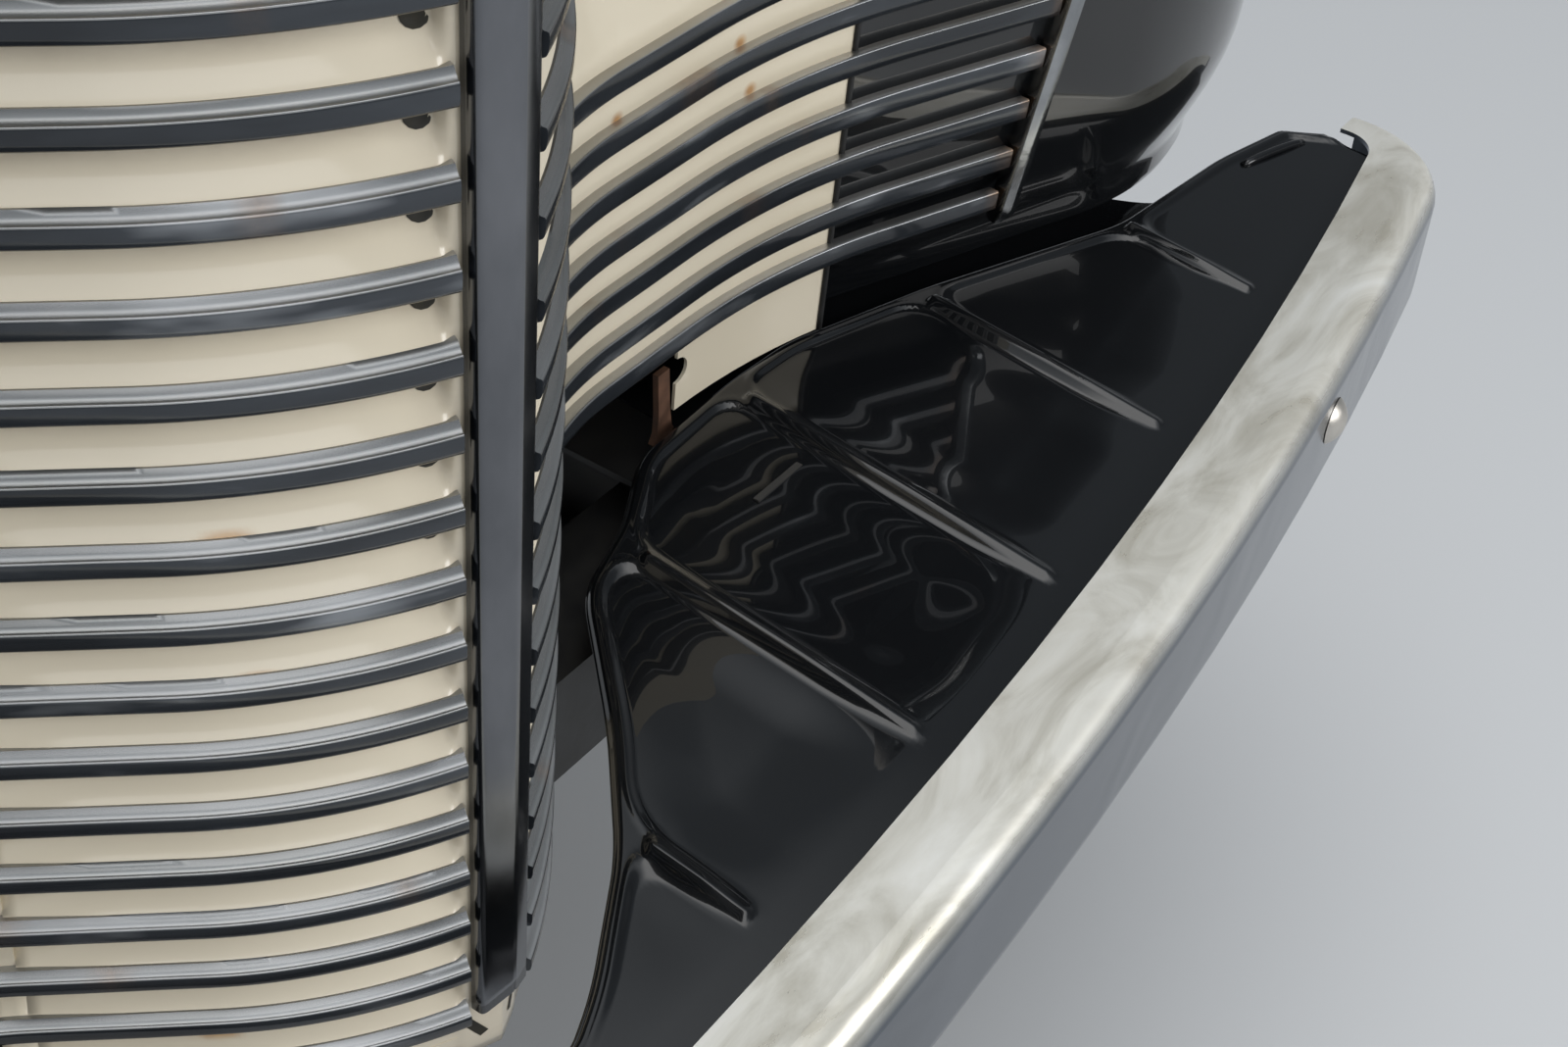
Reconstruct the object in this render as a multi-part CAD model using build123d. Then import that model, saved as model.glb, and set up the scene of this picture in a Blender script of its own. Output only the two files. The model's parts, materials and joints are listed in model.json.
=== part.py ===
from build123d import *
import os
from math import sin, cos, radians, degrees, sqrt

# Front end of a 1940s panel van, from the bumper back to the firewall.
# Drawn in shop coordinates: x to the vehicle's left, y rearward from the bumper's inner edge,
# z up from the road. Export moves it so that the origin is the middle of the frame splice.

# Frame splice, the plane that bolts to the rest of the vehicle
SPLICE_Y = 1150.0
SPLICE_Z = 500.0
SPLICE_T = 8.0
SPLICE_W = 90.0
SPLICE_H = 150.0
SPLICE_HOLE_D = 15.0
SPLICE_HOLE_RISE = 50.0

# Frame rails, pressed channels open inward
RAIL_X = 350.0
RAIL_W = 64.0
RAIL_H = 120.0
RAIL_T = 4.0
RAIL_FRONT_Y = 120.0
CROSS_Y = 215.0
CROSS_W = 80.0
CROSS_H = 70.0
CROSS_T = 4.0

# Front bumper
BUMPER_TOP_Z = 575.0
BUMPER_H = 104.0
BUMPER_DEPTH = 53.0
BUMPER_BOW_R = 4562.0
BUMPER_BEND_X = 880.0
BUMPER_INNER_BEND_X = 892.0
BUMPER_END_R = 82.0
BUMPER_END_INNER_R = 25.0
BUMPER_TAIL = 6.0
BUMPER_EDGE_R = 20.0
BUMPER_T = 3.2
BOLT_X = 655.0
BOLT_Z = 532.0
BOLT_HEAD_D = 30.0
BOLT_HEAD_H = 8.0
BOLT_SHANK_D = 12.0
NUT_D = 22.0
NUT_H = 10.0
BOLT_TAIL = 4.0
IRON_T = 10.0
IRON_H = 44.0
IRON_REAR_Y = 330.0
IRON_BEND_R = 80.0
IRON_SWEEP = 65.0
IRON_LINK = 178.0
IRON_TIP_R = 60.0
IRON_PAD = 60.0
IRON_GAP = 0.35

# Ribbed splash apron
APRON_Z = 561.0
APRON_RISE = 0.112
APRON_T = 2.0
APRON_TUCK = 18.0
APRON_HALF = 892.0
APRON_REACH = 264.0
APRON_END_Y = 88.0
FLANGE_W = 60.0
FLANGE_DROP = 12.0
FLANGE_END = 0.95
RIB_W = 24.0
RIB_H = 7.0
BRACKET_Y = 190.0
BRACKET_W = 40.0
BRACKET_T = 4.0

# Body wall seen from above, from the centre seam outward on the left side
WALL_REF_Z = 645.5
WALL_LEAN = 0.08
TIP_Y = 74.0
TIP_HEADING = 22.0
PROW_R = 250.0
PROW_HEADING = 49.0
FLANK_LEN = 73.5
VALLEY_R = 190.0
CATWALK_LEN = 63.4
SHOULDER_R = 409.0
SHOULDER_TURN = 21.5
BROW_LEN = 174.1
FENDER_CORNER_R = 207.0
SHEET = 2.0
SEAM_X = 467.0
FENDER_REAR_Y = 1130.0

# Heights of the body
NOSE_BOTTOM_Z = 562.0
NOSE_TOP_Z = 1150.0
CATWALK_TOP_Z = 900.0
CATWALK_BOTTOM_Z = 636.0
SKIRT_X = 352.0
NOTCH_DROP = 16.0
NOTCH_R = 9.0
LIP_Z = 592.0

# Chrome bars
BAR_PITCH = 32.5
BAR_H = 12.0
NOSE_BAR_H = 9.0
BAR_DEPTH = 8.0
LONG_BARS = 7
BARS_ABOVE = 9
BARS_BELOW = 2
BAR_START_X = 20.0
SIDE_RAIL_T = 3.0
STRIP_GAP = 1.5
STRIP_HALF = 14.0
STRIP_DEPTH = 7.5
STRIP_BOTTOM_Z = 589.0
STRIP_TOP_Z = 1146.0
END_STRIP_X = 582.0
END_STRIP_TILT = 0.144
END_STRIP_W = 12.0
END_STRIP_DEPTH = 13.0
END_STRIP_OVER = 8.0
END_GAP = 3.0

# Fender crown and wheel arch
CROWN_Z = 1000.0
CROWN_FRONT_Y = 125.0
CROWN_FRONT_R = 330.0
CROWN_BACK_R = 1400.0
CROWN_BACK_TURN = 30.0
CROWN_OVER = 14.0
CROWN_IN_R = 362.0
CROWN_IN_TURN = 40.0
CROWN_OUT_R = 250.0
CROWN_OUT_TURN = 75.0
WHEEL_Y = 560.0
WHEEL_Z = 356.0
ARCH_R = 430.0

# Hood, hinged at the rear
HOOD_GAP = 6.0
HOOD_SIDE_GAP = 5.0
SWING_R = 940.0
HOOD_REAR_X = 430.0
HOOD_REAR_Y = 1124.0
HOOD_REAR_TOP_Z = 1290.0
HOOD_REAR_R = 110.0
HOOD_REAR_CROWN_R = 900.0
HOOD_FRONT_TOP_Z = 1196.0
HOOD_FRONT_R = 55.0
HOOD_FRONT_CROWN_R = 300.0
HOOD_T = 2.0
HOOD_TAPER_Y = -120.0
HINGE_X = 90.0
HINGE_W = 60.0
HINGE_Y = 1130.0
HINGE_Z = 1283.0
HINGE_BARREL_D = 9.0
HINGE_PIN_D = 4.0
HINGE_PIN_FIT = 0.08
HINGE_LEAF_T = 3.0
HINGE_LEAF = 34.0
HINGE_PAD = 32.0
HINGE_PAD_T = 12.0

# Firewall, core support and radiator
WALL_Y = 1136.0
WALL_T = 3.0
CORE_Y = 436.0
CORE_T = 3.0
CORE_X = 370.0
CORE_TOP_Z = 1092.0
CORE_MARGIN = 5.0
CORE_LAP = 14.0
RAD_X = 200.0
RAD_BOTTOM_Z = 606.0
RAD_TOP_Z = 1076.0
RAD_TANK_H = 62.0
RAD_T = 58.0
TANK_OVER = 10.0
CAP_D = 62.0
CAP_H = 16.0
NECK_D = 44.0
NECK_H = 30.0
BRACE_X = 92.0
BRACE_Z = 1060.0
BRACE_W = 24.0
BRACE_T = 4.0
INNER_GAP = 2.0
GUSSET_Y = 700.0
GUSSET_T = 4.0
GUSSET_H = 48.0

# Lamps
LAMP_X = 670.0
LAMP_Y = 188.0
LAMP_Z = 998.0
LAMP_R = 101.0
LAMP_LEN = 340.0
LAMP_TAIL_R = 18.0
LAMP_WALL = 2.0
LAMP_BOWL = 290.0
BEZEL_OUT_R = 107.0
BEZEL_IN_R = 88.0
BEZEL_T = 26.0
LENS_T = 5.0
LENS_BULGE = 20.0
FIT = 0.3
PARK_R = 27.0
PARK_LEN = 120.0
PARK_Y = 235.0
PARK_RISE = 10.0

FAR = 3000.0


def walk(start, heading, legs, shift=0.0):
    """Corner, middle and end points of lines and arcs walked in a plane, shifted to the right."""
    x, y = start
    h = radians(heading)
    out = []
    for leg in legs:
        if leg[0] == "line":
            x2 = x + leg[1] * cos(h)
            y2 = y + leg[1] * sin(h)
            mid = None
            h2 = h
        else:
            r = leg[1]
            turn = radians(leg[2])
            s = 1.0 if turn > 0 else -1.0
            h2 = h + turn
            hm = h + turn / 2
            x2 = x + s * r * (sin(h2) - sin(h))
            y2 = y + s * r * (cos(h) - cos(h2))
            xm = x + s * r * (sin(hm) - sin(h))
            ym = y + s * r * (cos(h) - cos(hm))
            mid = (xm + shift * sin(hm), ym - shift * cos(hm))
        a = (x + shift * sin(h), y - shift * cos(h))
        b = (x2 + shift * sin(h2), y2 - shift * cos(h2))
        out.append((a, mid, b))
        x, y, h = x2, y2, h2
    return out


def edges(points, place):
    """Edges through walked points, put in space by the function place."""
    out = []
    for a, mid, b in points:
        if mid is None:
            out.append(Edge.make_line(place(*a), place(*b)))
        else:
            out.append(Edge.make_three_point_arc(place(*a), place(*mid), place(*b)))
    return out


def loop_face(chain, place, corners):
    """Face closed by a chain of edges and straight lines through further corners."""
    es = edges(chain, place)
    pts = [place(*chain[-1][2])] + [place(*c) for c in corners] + [place(*chain[0][0])]
    for a, b in zip(pts[:-1], pts[1:]):
        if (Vector(a) - Vector(b)).length > 0.001:
            es.append(Edge.make_line(a, b))
    return Face(Wire(es))


def box(x0, x1, y0, y1, z0, z1):
    """Box between two corners."""
    return Pos((x0 + x1) / 2, (y0 + y1) / 2, (z0 + z1) / 2) * Box(x1 - x0, y1 - y0, z1 - z0)


def other_side(part):
    """The same piece on the right side."""
    return mirror(part, about=Plane.YZ)


def lean_y(z):
    """How far the body wall moves forward at height z."""
    return -WALL_LEAN * (z - WALL_REF_Z)


PROW = ("arc", PROW_R, PROW_HEADING - TIP_HEADING)
FLANK = ("line", FLANK_LEN)
VALLEY = ("arc", VALLEY_R, -PROW_HEADING)
CATWALK = ("line", CATWALK_LEN)
SHOULDER = ("arc", SHOULDER_R, -SHOULDER_TURN)
BROW = ("line", BROW_LEN)
CORNER = ("arc", FENDER_CORNER_R, 90.0 + SHOULDER_TURN)
SIDE = ("line", 780.0)
BODY_LEGS = [PROW, FLANK, VALLEY, CATWALK, SHOULDER, BROW, CORNER, SIDE]


def wall_points(shift=0.0, first=0, last=8):
    """Plan of the body wall at the reference height, legs first to last."""
    return walk((0.0, TIP_Y), TIP_HEADING, BODY_LEGS, shift)[first:last]


def plan_band(front, back, z0, z1):
    """Leaning band between two plan lines."""
    level = lambda x, y: (x, y + lean_y(z0), z0)
    es = edges(front, level) + edges(back, level)
    es.append(Edge.make_line(level(*front[0][0]), level(*back[0][0])))
    es.append(Edge.make_line(level(*front[-1][2]), level(*back[-1][2])))
    rise = z1 - z0
    return Solid.extrude(Face(Wire(es)), Vector(0, -WALL_LEAN * rise, rise))


def wall_band(inner, outer, z0, z1, first=0, last=8):
    """Upright leaning band between two offsets from the wall's outer face."""
    return plan_band(wall_points(outer, first, last), wall_points(inner, first, last), z0, z1)


# Frame

def frame_rail():
    x1 = RAIL_X + RAIL_W / 2
    z0 = SPLICE_Z - RAIL_H / 2
    z1 = SPLICE_Z + RAIL_H / 2
    y1 = SPLICE_Y - SPLICE_T
    rail = box(x1 - RAIL_W, x1, RAIL_FRONT_Y, y1, z0, z1)
    return rail - box(x1 - RAIL_W - 1, x1 - RAIL_T, RAIL_FRONT_Y - 1, y1 + 1, z0 + RAIL_T, z1 - RAIL_T)


def splice_plate():
    plate = box(RAIL_X - SPLICE_W / 2, RAIL_X + SPLICE_W / 2, SPLICE_Y - SPLICE_T, SPLICE_Y,
                SPLICE_Z - SPLICE_H / 2, SPLICE_Z + SPLICE_H / 2)
    for side in (-1, 1):
        z = SPLICE_Z + side * SPLICE_HOLE_RISE
        hole = Pos(RAIL_X, SPLICE_Y, z) * Rot(90, 0, 0) * Cylinder(SPLICE_HOLE_D / 2, 4 * SPLICE_T)
        plate -= hole
    return plate


def crossmember():
    x1 = RAIL_X + RAIL_W / 2 - RAIL_T
    z0 = SPLICE_Z - CROSS_H / 2
    z1 = SPLICE_Z + CROSS_H / 2
    member = box(-x1, x1, CROSS_Y, CROSS_Y + CROSS_W, z0, z1)
    y0 = CROSS_Y + CROSS_T
    y1 = CROSS_Y + CROSS_W - CROSS_T
    return member - box(-x1 - 1, x1 + 1, y0, y1, z0 - 1, z1 - CROSS_T)


# Bumper

def bumper_outer(shift=0.0):
    """Plan of the bumper face from the middle to the left end, shifted rearward."""
    r = BUMPER_BOW_R
    bend = BUMPER_BEND_X / r
    turn = 90.0 - degrees(bend)
    legs = [("arc", r, degrees(bend)), ("arc", BUMPER_END_R, turn), ("line", BUMPER_TAIL)]
    return walk((0.0, -BUMPER_DEPTH), 0.0, legs, -shift)


def bumper_inner():
    r = BUMPER_BOW_R - BUMPER_DEPTH
    end_y = bumper_outer()[-1][2][1]
    bend = BUMPER_INNER_BEND_X / r
    turn = 90.0 - degrees(bend)
    legs = [("arc", r, degrees(bend)), ("arc", BUMPER_END_INNER_R, turn)]
    pts = walk((0.0, 0.0), 0.0, legs)
    last = pts[-1][2]
    return pts + [(last, None, (last[0], end_y))]


def bumper_bar():
    flat = lambda x, y: (x, y, BUMPER_TOP_Z - BUMPER_H)
    front = bumper_outer()
    back = bumper_inner()
    es = edges(front, flat) + edges(back, flat)
    es.append(Edge.make_line(flat(*front[0][0]), flat(*back[0][0])))
    es.append(Edge.make_line(flat(*front[-1][2]), flat(*back[-1][2])))
    half = Solid.extrude(Face(Wire(es)), Vector(0, 0, BUMPER_H))
    whole = half + other_side(half)
    rounded = whole.edges().filter_by(lambda e: on_front(e, 0.0))
    whole = fillet(rounded, BUMPER_EDGE_R)
    hole_z = BUMPER_TOP_Z - BUMPER_H + BUMPER_T
    low = lambda x, y: (x, y, hole_z)
    chain = bumper_outer(BUMPER_T)
    room = Solid.extrude(loop_face(chain, low, [(chain[-1][2][0], 400.0), (0.0, 400.0)]),
                         Vector(0, 0, BUMPER_H - 2 * BUMPER_T))
    room = room + other_side(room)
    soft = room.edges().filter_by(lambda e: on_front(e, BUMPER_T))
    room = fillet(soft, BUMPER_EDGE_R - BUMPER_T)
    return whole - room - bolt_hole(1) - bolt_hole(-1)


def on_front(edge, shift):
    """True for the level edges along the bumper's front and ends."""
    if abs(edge.tangent_at(0.5).Z) > 0.01:
        return False
    p = edge.position_at(0.5)
    mid = bumper_outer(shift)
    for a, m, b in mid:
        c = m if m else ((a[0] + b[0]) / 2, (a[1] + b[1]) / 2)
        if abs(abs(p.X) - c[0]) < 0.5 and abs(p.Y - c[1]) < 0.5:
            return True
    return abs(p.X) < 1 and abs(p.Y + BUMPER_DEPTH - shift) < 0.5


def face_y(x):
    """Bumper's outer face at x."""
    return -BUMPER_DEPTH + BUMPER_BOW_R - sqrt(BUMPER_BOW_R ** 2 - x * x)


def bolt_place():
    """Frame at the bolt's head, its z axis out of the bumper's face."""
    lean = degrees(BOLT_X / BUMPER_BOW_R)
    return Location((BOLT_X, face_y(BOLT_X), BOLT_Z)) * Rot(0, 0, lean) * Rot(90, 0, 0)


def bolt_hole(side):
    hole = bolt_place() * Cylinder(BOLT_SHANK_D / 2, IRON_PAD)
    return hole if side > 0 else other_side(hole)


def bumper_bolt():
    grip = BUMPER_T + IRON_T + 2 * FIT
    length = grip + NUT_H + BOLT_TAIL
    ball = (BOLT_HEAD_D ** 2 / 4 + BOLT_HEAD_H ** 2) / (2 * BOLT_HEAD_H)
    head = Pos(0, 0, BOLT_HEAD_H - ball + FIT) * Sphere(ball)
    head &= Pos(0, 0, FIT + BOLT_HEAD_H / 2) * Cylinder(BOLT_HEAD_D / 2, BOLT_HEAD_H)
    shank = Pos(0, 0, FIT - length / 2) * Cylinder(BOLT_SHANK_D / 2, length)
    nut = Pos(0, 0, -grip - NUT_H / 2) * extrude(RegularPolygon(NUT_D / 2, 6), NUT_H / 2, both=True)
    return bolt_place() * (head + shank + nut)


def bumper_iron():
    slope = degrees(BOLT_X / BUMPER_BOW_R)
    x0 = RAIL_X + RAIL_W / 2 + IRON_T / 2
    tip = ("arc", IRON_TIP_R, 90.0 - IRON_SWEEP + slope)
    legs = [("arc", IRON_BEND_R, IRON_SWEEP), ("line", IRON_LINK), tip]
    free = walk((x0, 0.0), -90.0, legs)
    pad_x = BOLT_X - IRON_PAD / 2 * cos(radians(slope))
    reach = pad_x - free[-1][2][0]
    legs[1] = ("line", IRON_LINK + reach / cos(radians(90.0 - IRON_SWEEP)))
    free = walk((x0, 0.0), -90.0, legs)
    want = face_y(pad_x) + (BUMPER_T + IRON_GAP + IRON_T / 2) / cos(radians(slope))
    bend_y = want - free[-1][2][1]
    legs = [("line", IRON_REAR_Y - bend_y)] + legs + [("line", IRON_PAD)]
    right = walk((x0, IRON_REAR_Y), -90.0, legs, IRON_T / 2)
    left = walk((x0, IRON_REAR_Y), -90.0, legs, -IRON_T / 2)
    z0 = BOLT_Z - IRON_H / 2
    flat = lambda x, y: (x, y, z0)
    es = edges(right, flat) + edges(left, flat)
    es.append(Edge.make_line(flat(*right[0][0]), flat(*left[0][0])))
    es.append(Edge.make_line(flat(*right[-1][2]), flat(*left[-1][2])))
    iron = Solid.extrude(Face(Wire(es)), Vector(0, 0, IRON_H))
    return iron - bolt_hole(1)


# Splash apron

# Rear edge, as shares of the half width and of the reach
APRON_REAR = [(0.0, 0.167), (0.038, 0.223), (0.109, 0.371), (0.171, 0.564), (0.24, 0.822), (0.295, 0.879),
              (0.349, 0.985), (0.444, 1.0), (0.502, 0.989), (0.617, 0.875), (0.781, 0.67), (0.908, 0.629),
              (0.991, 0.568)]

# Share of the half width, and shares of the reach at the rib's front and rear end
RIBS = [(0.123, 0.091, 0.348), (0.283, 0.106, 0.795), (0.439, 0.133, 0.939), (0.607, 0.201, 0.841),
        (0.781, 0.28, 0.652)]


def apron_place():
    """Plane of the apron's upper face."""
    tilt = sqrt(1 + APRON_RISE ** 2)
    return Plane(origin=(0, 0, APRON_Z), x_dir=(1, 0, 0), z_dir=(0, -APRON_RISE / tilt, 1 / tilt))


def apron_column(points):
    """Everything above and below a plan outline."""
    face = Face(Wire(Polyline(*[(x, y, 0) for x, y in points], close=True).edges()))
    return Solid.extrude(face, Vector(0, 0, 2 * APRON_Z))


def apron_layer(top, bottom):
    """Slab between two depths below the apron's upper face."""
    return apron_place() * Pos(0, 0, -(top + bottom) / 2) * Box(3 * FAR, 3 * FAR, bottom - top)


def splash_apron():
    front_y = lambda x: BUMPER_BOW_R - sqrt(BUMPER_BOW_R ** 2 - x * x) - APRON_TUCK
    rear = [(u * APRON_HALF, v * APRON_REACH) for u, v in APRON_REAR]
    corner = [(APRON_HALF, 0.455 * APRON_REACH), (APRON_HALF - 6, APRON_END_Y)]
    front = [(u * APRON_HALF, front_y(u * APRON_HALF)) for u in (0.965, 0.74, 0.49, 0.245, 0.0)]
    plate = apron_column(rear + corner + front) & apron_layer(0.0, APRON_T)
    flange = [p for p in rear if RAIL_X < p[0] < FLANGE_END * APRON_HALF]
    inner = [(x, y - APRON_T) for x, y in flange]
    outer = [(x, y + FLANGE_W) for x, y in reversed(flange[:-1])]
    plate += apron_column(flange + inner[::-1]) & apron_layer(0.0, FLANGE_DROP + APRON_T)
    plate += apron_column(inner + outer) & apron_layer(FLANGE_DROP, FLANGE_DROP + APRON_T)
    tilt = sqrt(1 + APRON_RISE ** 2)
    for u, v0, v1 in RIBS:
        length = (v1 - v0) * APRON_REACH * tilt - RIB_W
        mid = (v0 + v1) / 2 * APRON_REACH * tilt
        bead = SlotCenterToCenter(length, RIB_W, rotation=90)
        rib = apron_place() * Pos(u * APRON_HALF, mid, 0) * extrude(bead, RIB_H, taper=35)
        plate = plate + rib
    return plate + other_side(plate)


def apron_bracket():
    z0 = SPLICE_Z + RAIL_H / 2
    y0 = BRACKET_Y
    z1 = APRON_Z + APRON_RISE * y0 - APRON_T * sqrt(1 + APRON_RISE ** 2)
    half = BRACKET_W / 2
    return box(RAIL_X - half, RAIL_X + half, y0, y0 + BRACKET_T, z0, z1)


# Nose

def hood_swing(radius):
    """Everything within a radius of the hood's hinge axis."""
    return Pos(0, HINGE_Y, HINGE_Z) * Rot(0, 90, 0) * Cylinder(radius, FAR)


def nose_panel():
    """Half of the nose. Above the catwalk it runs on round the corner to the hood's front edge."""
    left = box(0, FAR, -FAR, FAR, 0, FAR)
    low = wall_band(-SHEET, 0.0, NOSE_BOTTOM_Z, CATWALK_TOP_Z, 0, 2) & left
    skin = hood_body(0.0, HOOD_REAR_Y, CATWALK_TOP_Z) - hood_body(SHEET, HOOD_REAR_Y + HOOD_T, 0.0)
    top = skin & box(0, FAR, -FAR, FAR, CATWALK_TOP_Z, NOSE_TOP_Z)
    return low + (top - hood_swing(SWING_R))


def bar_z(n):
    """Bottom of bar n, counted up from the lowest long bar."""
    return WALL_REF_Z - BAR_H / 2 + n * BAR_PITCH


def tilted_slab(x0, x1):
    """Everything between two planes that tilt outward as they rise, as the end strip does."""
    rise = FAR / 2
    lean = END_STRIP_TILT * rise
    y = FAR / 2
    foot = [(x0 - lean, y), (x1 - lean, y), (x1 + lean, y), (x0 + lean, y)]
    level = [WALL_REF_Z - rise, WALL_REF_Z - rise, WALL_REF_Z + rise, WALL_REF_Z + rise]
    pts = [(x, yy, z) for (x, yy), z in zip(foot, level)]
    face = Face(Wire(Polyline(*pts, close=True).edges()))
    return Solid.extrude(face, Vector(0, -FAR, 0))


def nose_bar(n):
    """Chrome bar n on the outer face of the nose, from the strip to the nose's rear corner."""
    top = bar_z(n) + BAR_H
    band = wall_band(0.0, BAR_DEPTH, top - NOSE_BAR_H, top, 0, 2)
    band &= box(BAR_START_X, FAR, -FAR, FAR, 0, FAR)
    if bar_z(n) > CATWALK_TOP_Z:
        band &= hood_body(-BAR_DEPTH, HOOD_REAR_Y, CATWALK_TOP_Z)
    return band


def wing_bar(n):
    """The same bar's taller run along the catwalk and the fender's brow."""
    band = wall_band(0.0, BAR_DEPTH, bar_z(n), bar_z(n) + BAR_H, 2, 6)
    return band & tilted_slab(-FAR, END_STRIP_X - END_STRIP_W / 2 - END_GAP)


def grille_bars():
    """All bars of one side on the upright rail that holds them beside the centre strip."""
    z0 = NOSE_BOTTOM_Z + 4
    grille = wall_band(0.0, SIDE_RAIL_T, z0, NOSE_TOP_Z - 6, 0, 1)
    grille &= box(STRIP_HALF + STRIP_GAP, BAR_START_X, -FAR, FAR, 0, FAR)
    for n in range(-BARS_BELOW, LONG_BARS + BARS_ABOVE):
        grille += nose_bar(n)
        if 0 <= n < LONG_BARS:
            grille += wing_bar(n)
    return grille


def end_strip():
    z0 = bar_z(0) - END_STRIP_OVER
    z1 = bar_z(LONG_BARS - 1) + BAR_H + END_STRIP_OVER
    strip = wall_band(0.0, END_STRIP_DEPTH, z0, z1, 4, 6)
    half = END_STRIP_W / 2
    return strip & tilted_slab(END_STRIP_X - half, END_STRIP_X + half)


def centre_strip():
    """Moulding over the nose's centre seam, its two faces in line with the bars."""
    t = radians(TIP_HEADING)
    start = (-STRIP_HALF * cos(t), TIP_Y - STRIP_HALF * sin(t))
    legs = [("line", STRIP_HALF), PROW]
    front = walk(start, TIP_HEADING, legs, STRIP_DEPTH)
    back = walk(start, TIP_HEADING, legs)
    half = plan_band(front, back, STRIP_BOTTOM_Z, STRIP_TOP_Z) & box(0, STRIP_HALF, -FAR, FAR, 0, FAR)
    return half + other_side(half)


# Catwalk

def hood_side_x(y):
    """Outer face of the hood's side at y."""
    a = wall_points()[1][2]
    return a[0] + (HOOD_REAR_X - a[0]) * (y - a[1]) / (HOOD_REAR_Y - a[1])


def catwalk_panel():
    keep = box(0, SEAM_X, -FAR, FAR, 0, FAR)
    wall = wall_band(-SHEET, 0.0, CATWALK_BOTTOM_Z, CATWALK_TOP_Z, 2, 5) & keep
    skirt = wall_band(-SHEET, 0.0, LIP_Z, CATWALK_BOTTOM_Z, 3, 5) & box(SKIRT_X, SEAM_X, -FAR, FAR, 0, FAR)
    skirt -= Pos(SKIRT_X, 0, CATWALK_BOTTOM_Z - NOTCH_DROP) * Rot(90, 0, 0) * Cylinder(NOTCH_R, FAR)
    z0 = CATWALK_TOP_Z - SHEET
    front = wall_points(-SHEET / 2, 2, 5)
    shift = lean_y(CATWALK_TOP_Z)
    level = lambda x, y: (x, y + shift, z0)
    y_in = front[0][0][1] + 4
    corners = [(front[-1][2][0], WALL_Y - shift), (HOOD_REAR_X - 30, WALL_Y - shift),
               (RAD_X + CORE_MARGIN + 8, CORE_Y), (front[0][0][0] - 12, y_in + 40)]
    shelf = Solid.extrude(loop_face(front, level, corners), Vector(0, 0, SHEET)) & keep
    return wall + skirt + shelf


# Fender

def fender_body(inset):
    """Solid inside the fender's outer face, every face moved in by inset."""
    plan = wall_points(-inset, 4, 8)
    z0 = LIP_Z - 20
    level = lambda x, y: (x, y + lean_y(z0), z0)
    x_in = 300.0
    tall = 500.0
    rear = plan[-1][2][1]
    face = loop_face(plan, level, [(x_in, rear), (x_in, plan[0][0][1])])
    prism = Solid.extrude(face, Vector(0, -WALL_LEAN * tall, tall))
    side_legs = [("arc", CROWN_FRONT_R, -90.0), ("arc", CROWN_BACK_R, -CROWN_BACK_TURN), ("line", 400.0)]
    side = walk((CROWN_FRONT_Y, CROWN_Z - CROWN_FRONT_R), 90.0, side_legs, inset)
    sheet_side = lambda y, z: (0, y, z)
    last = side[-1][2]
    long_cut = Solid.extrude(loop_face(side, sheet_side, [(last[0], 400.0), (side[0][0][0], 400.0)]),
                             Vector(FAR, 0, 0))
    front_legs = [("arc", CROWN_IN_R, -CROWN_IN_TURN), ("arc", CROWN_OUT_R, -CROWN_OUT_TURN)]
    front_legs.append(("line", 700.0))
    z_in = CROWN_Z + CROWN_OVER - CROWN_IN_R * (1 - cos(radians(CROWN_IN_TURN)))
    front = walk((SEAM_X, z_in), CROWN_IN_TURN, front_legs, inset)
    sheet_front = lambda x, z: (x, 0, z)
    first = front[0][0]
    corners = [(front[-1][2][0], 100.0), (x_in, 100.0), (x_in, first[1] - 60)]
    across = Solid.extrude(loop_face(front, sheet_front, corners), Vector(0, FAR, 0))
    return prism & long_cut & across


def fender():
    outer = fender_body(0.0) & box(SEAM_X, FAR, -FAR, FENDER_REAR_Y, LIP_Z, FAR)
    inner = fender_body(SHEET)
    shell = outer - inner
    arch = Pos(FAR / 2 + 700, WHEEL_Y, WHEEL_Z) * Rot(0, 90, 0) * Cylinder(ARCH_R, FAR)
    return shell - arch


# Hood

def hood_section(y, half, top, corner, crown, bottom):
    """Closed wire across the hood at y, sides up, rounded corners and a crowned top."""
    cz = top - crown + sqrt((crown - corner) ** 2 - (half - corner) ** 2)
    px = (half - corner) * crown / (crown - corner)
    pz = top - crown + (cz - (top - crown)) * crown / (crown - corner)
    d = sqrt(((half - corner) - 0) ** 2 + (cz - (top - crown)) ** 2)
    ux = (half - corner) / d
    uz = (cz - (top - crown)) / d
    mx = ux + 1.0
    mz = uz
    m = sqrt(mx * mx + mz * mz)
    qx = half - corner + corner * mx / m
    qz = cz + corner * mz / m
    left = [(half, y, bottom), (half, y, cz), (qx, y, qz), (px, y, pz)]
    right = [(-x, yy, z) for x, yy, z in left]
    return Wire([
        Edge.make_line(right[0], left[0]),
        Edge.make_line(left[0], left[1]),
        Edge.make_three_point_arc(left[1], left[2], left[3]),
        Edge.make_three_point_arc(left[3], (0, y, top), right[3]),
        Edge.make_three_point_arc(right[3], right[2], right[1]),
        Edge.make_line(right[1], right[0]),
    ])


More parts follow.
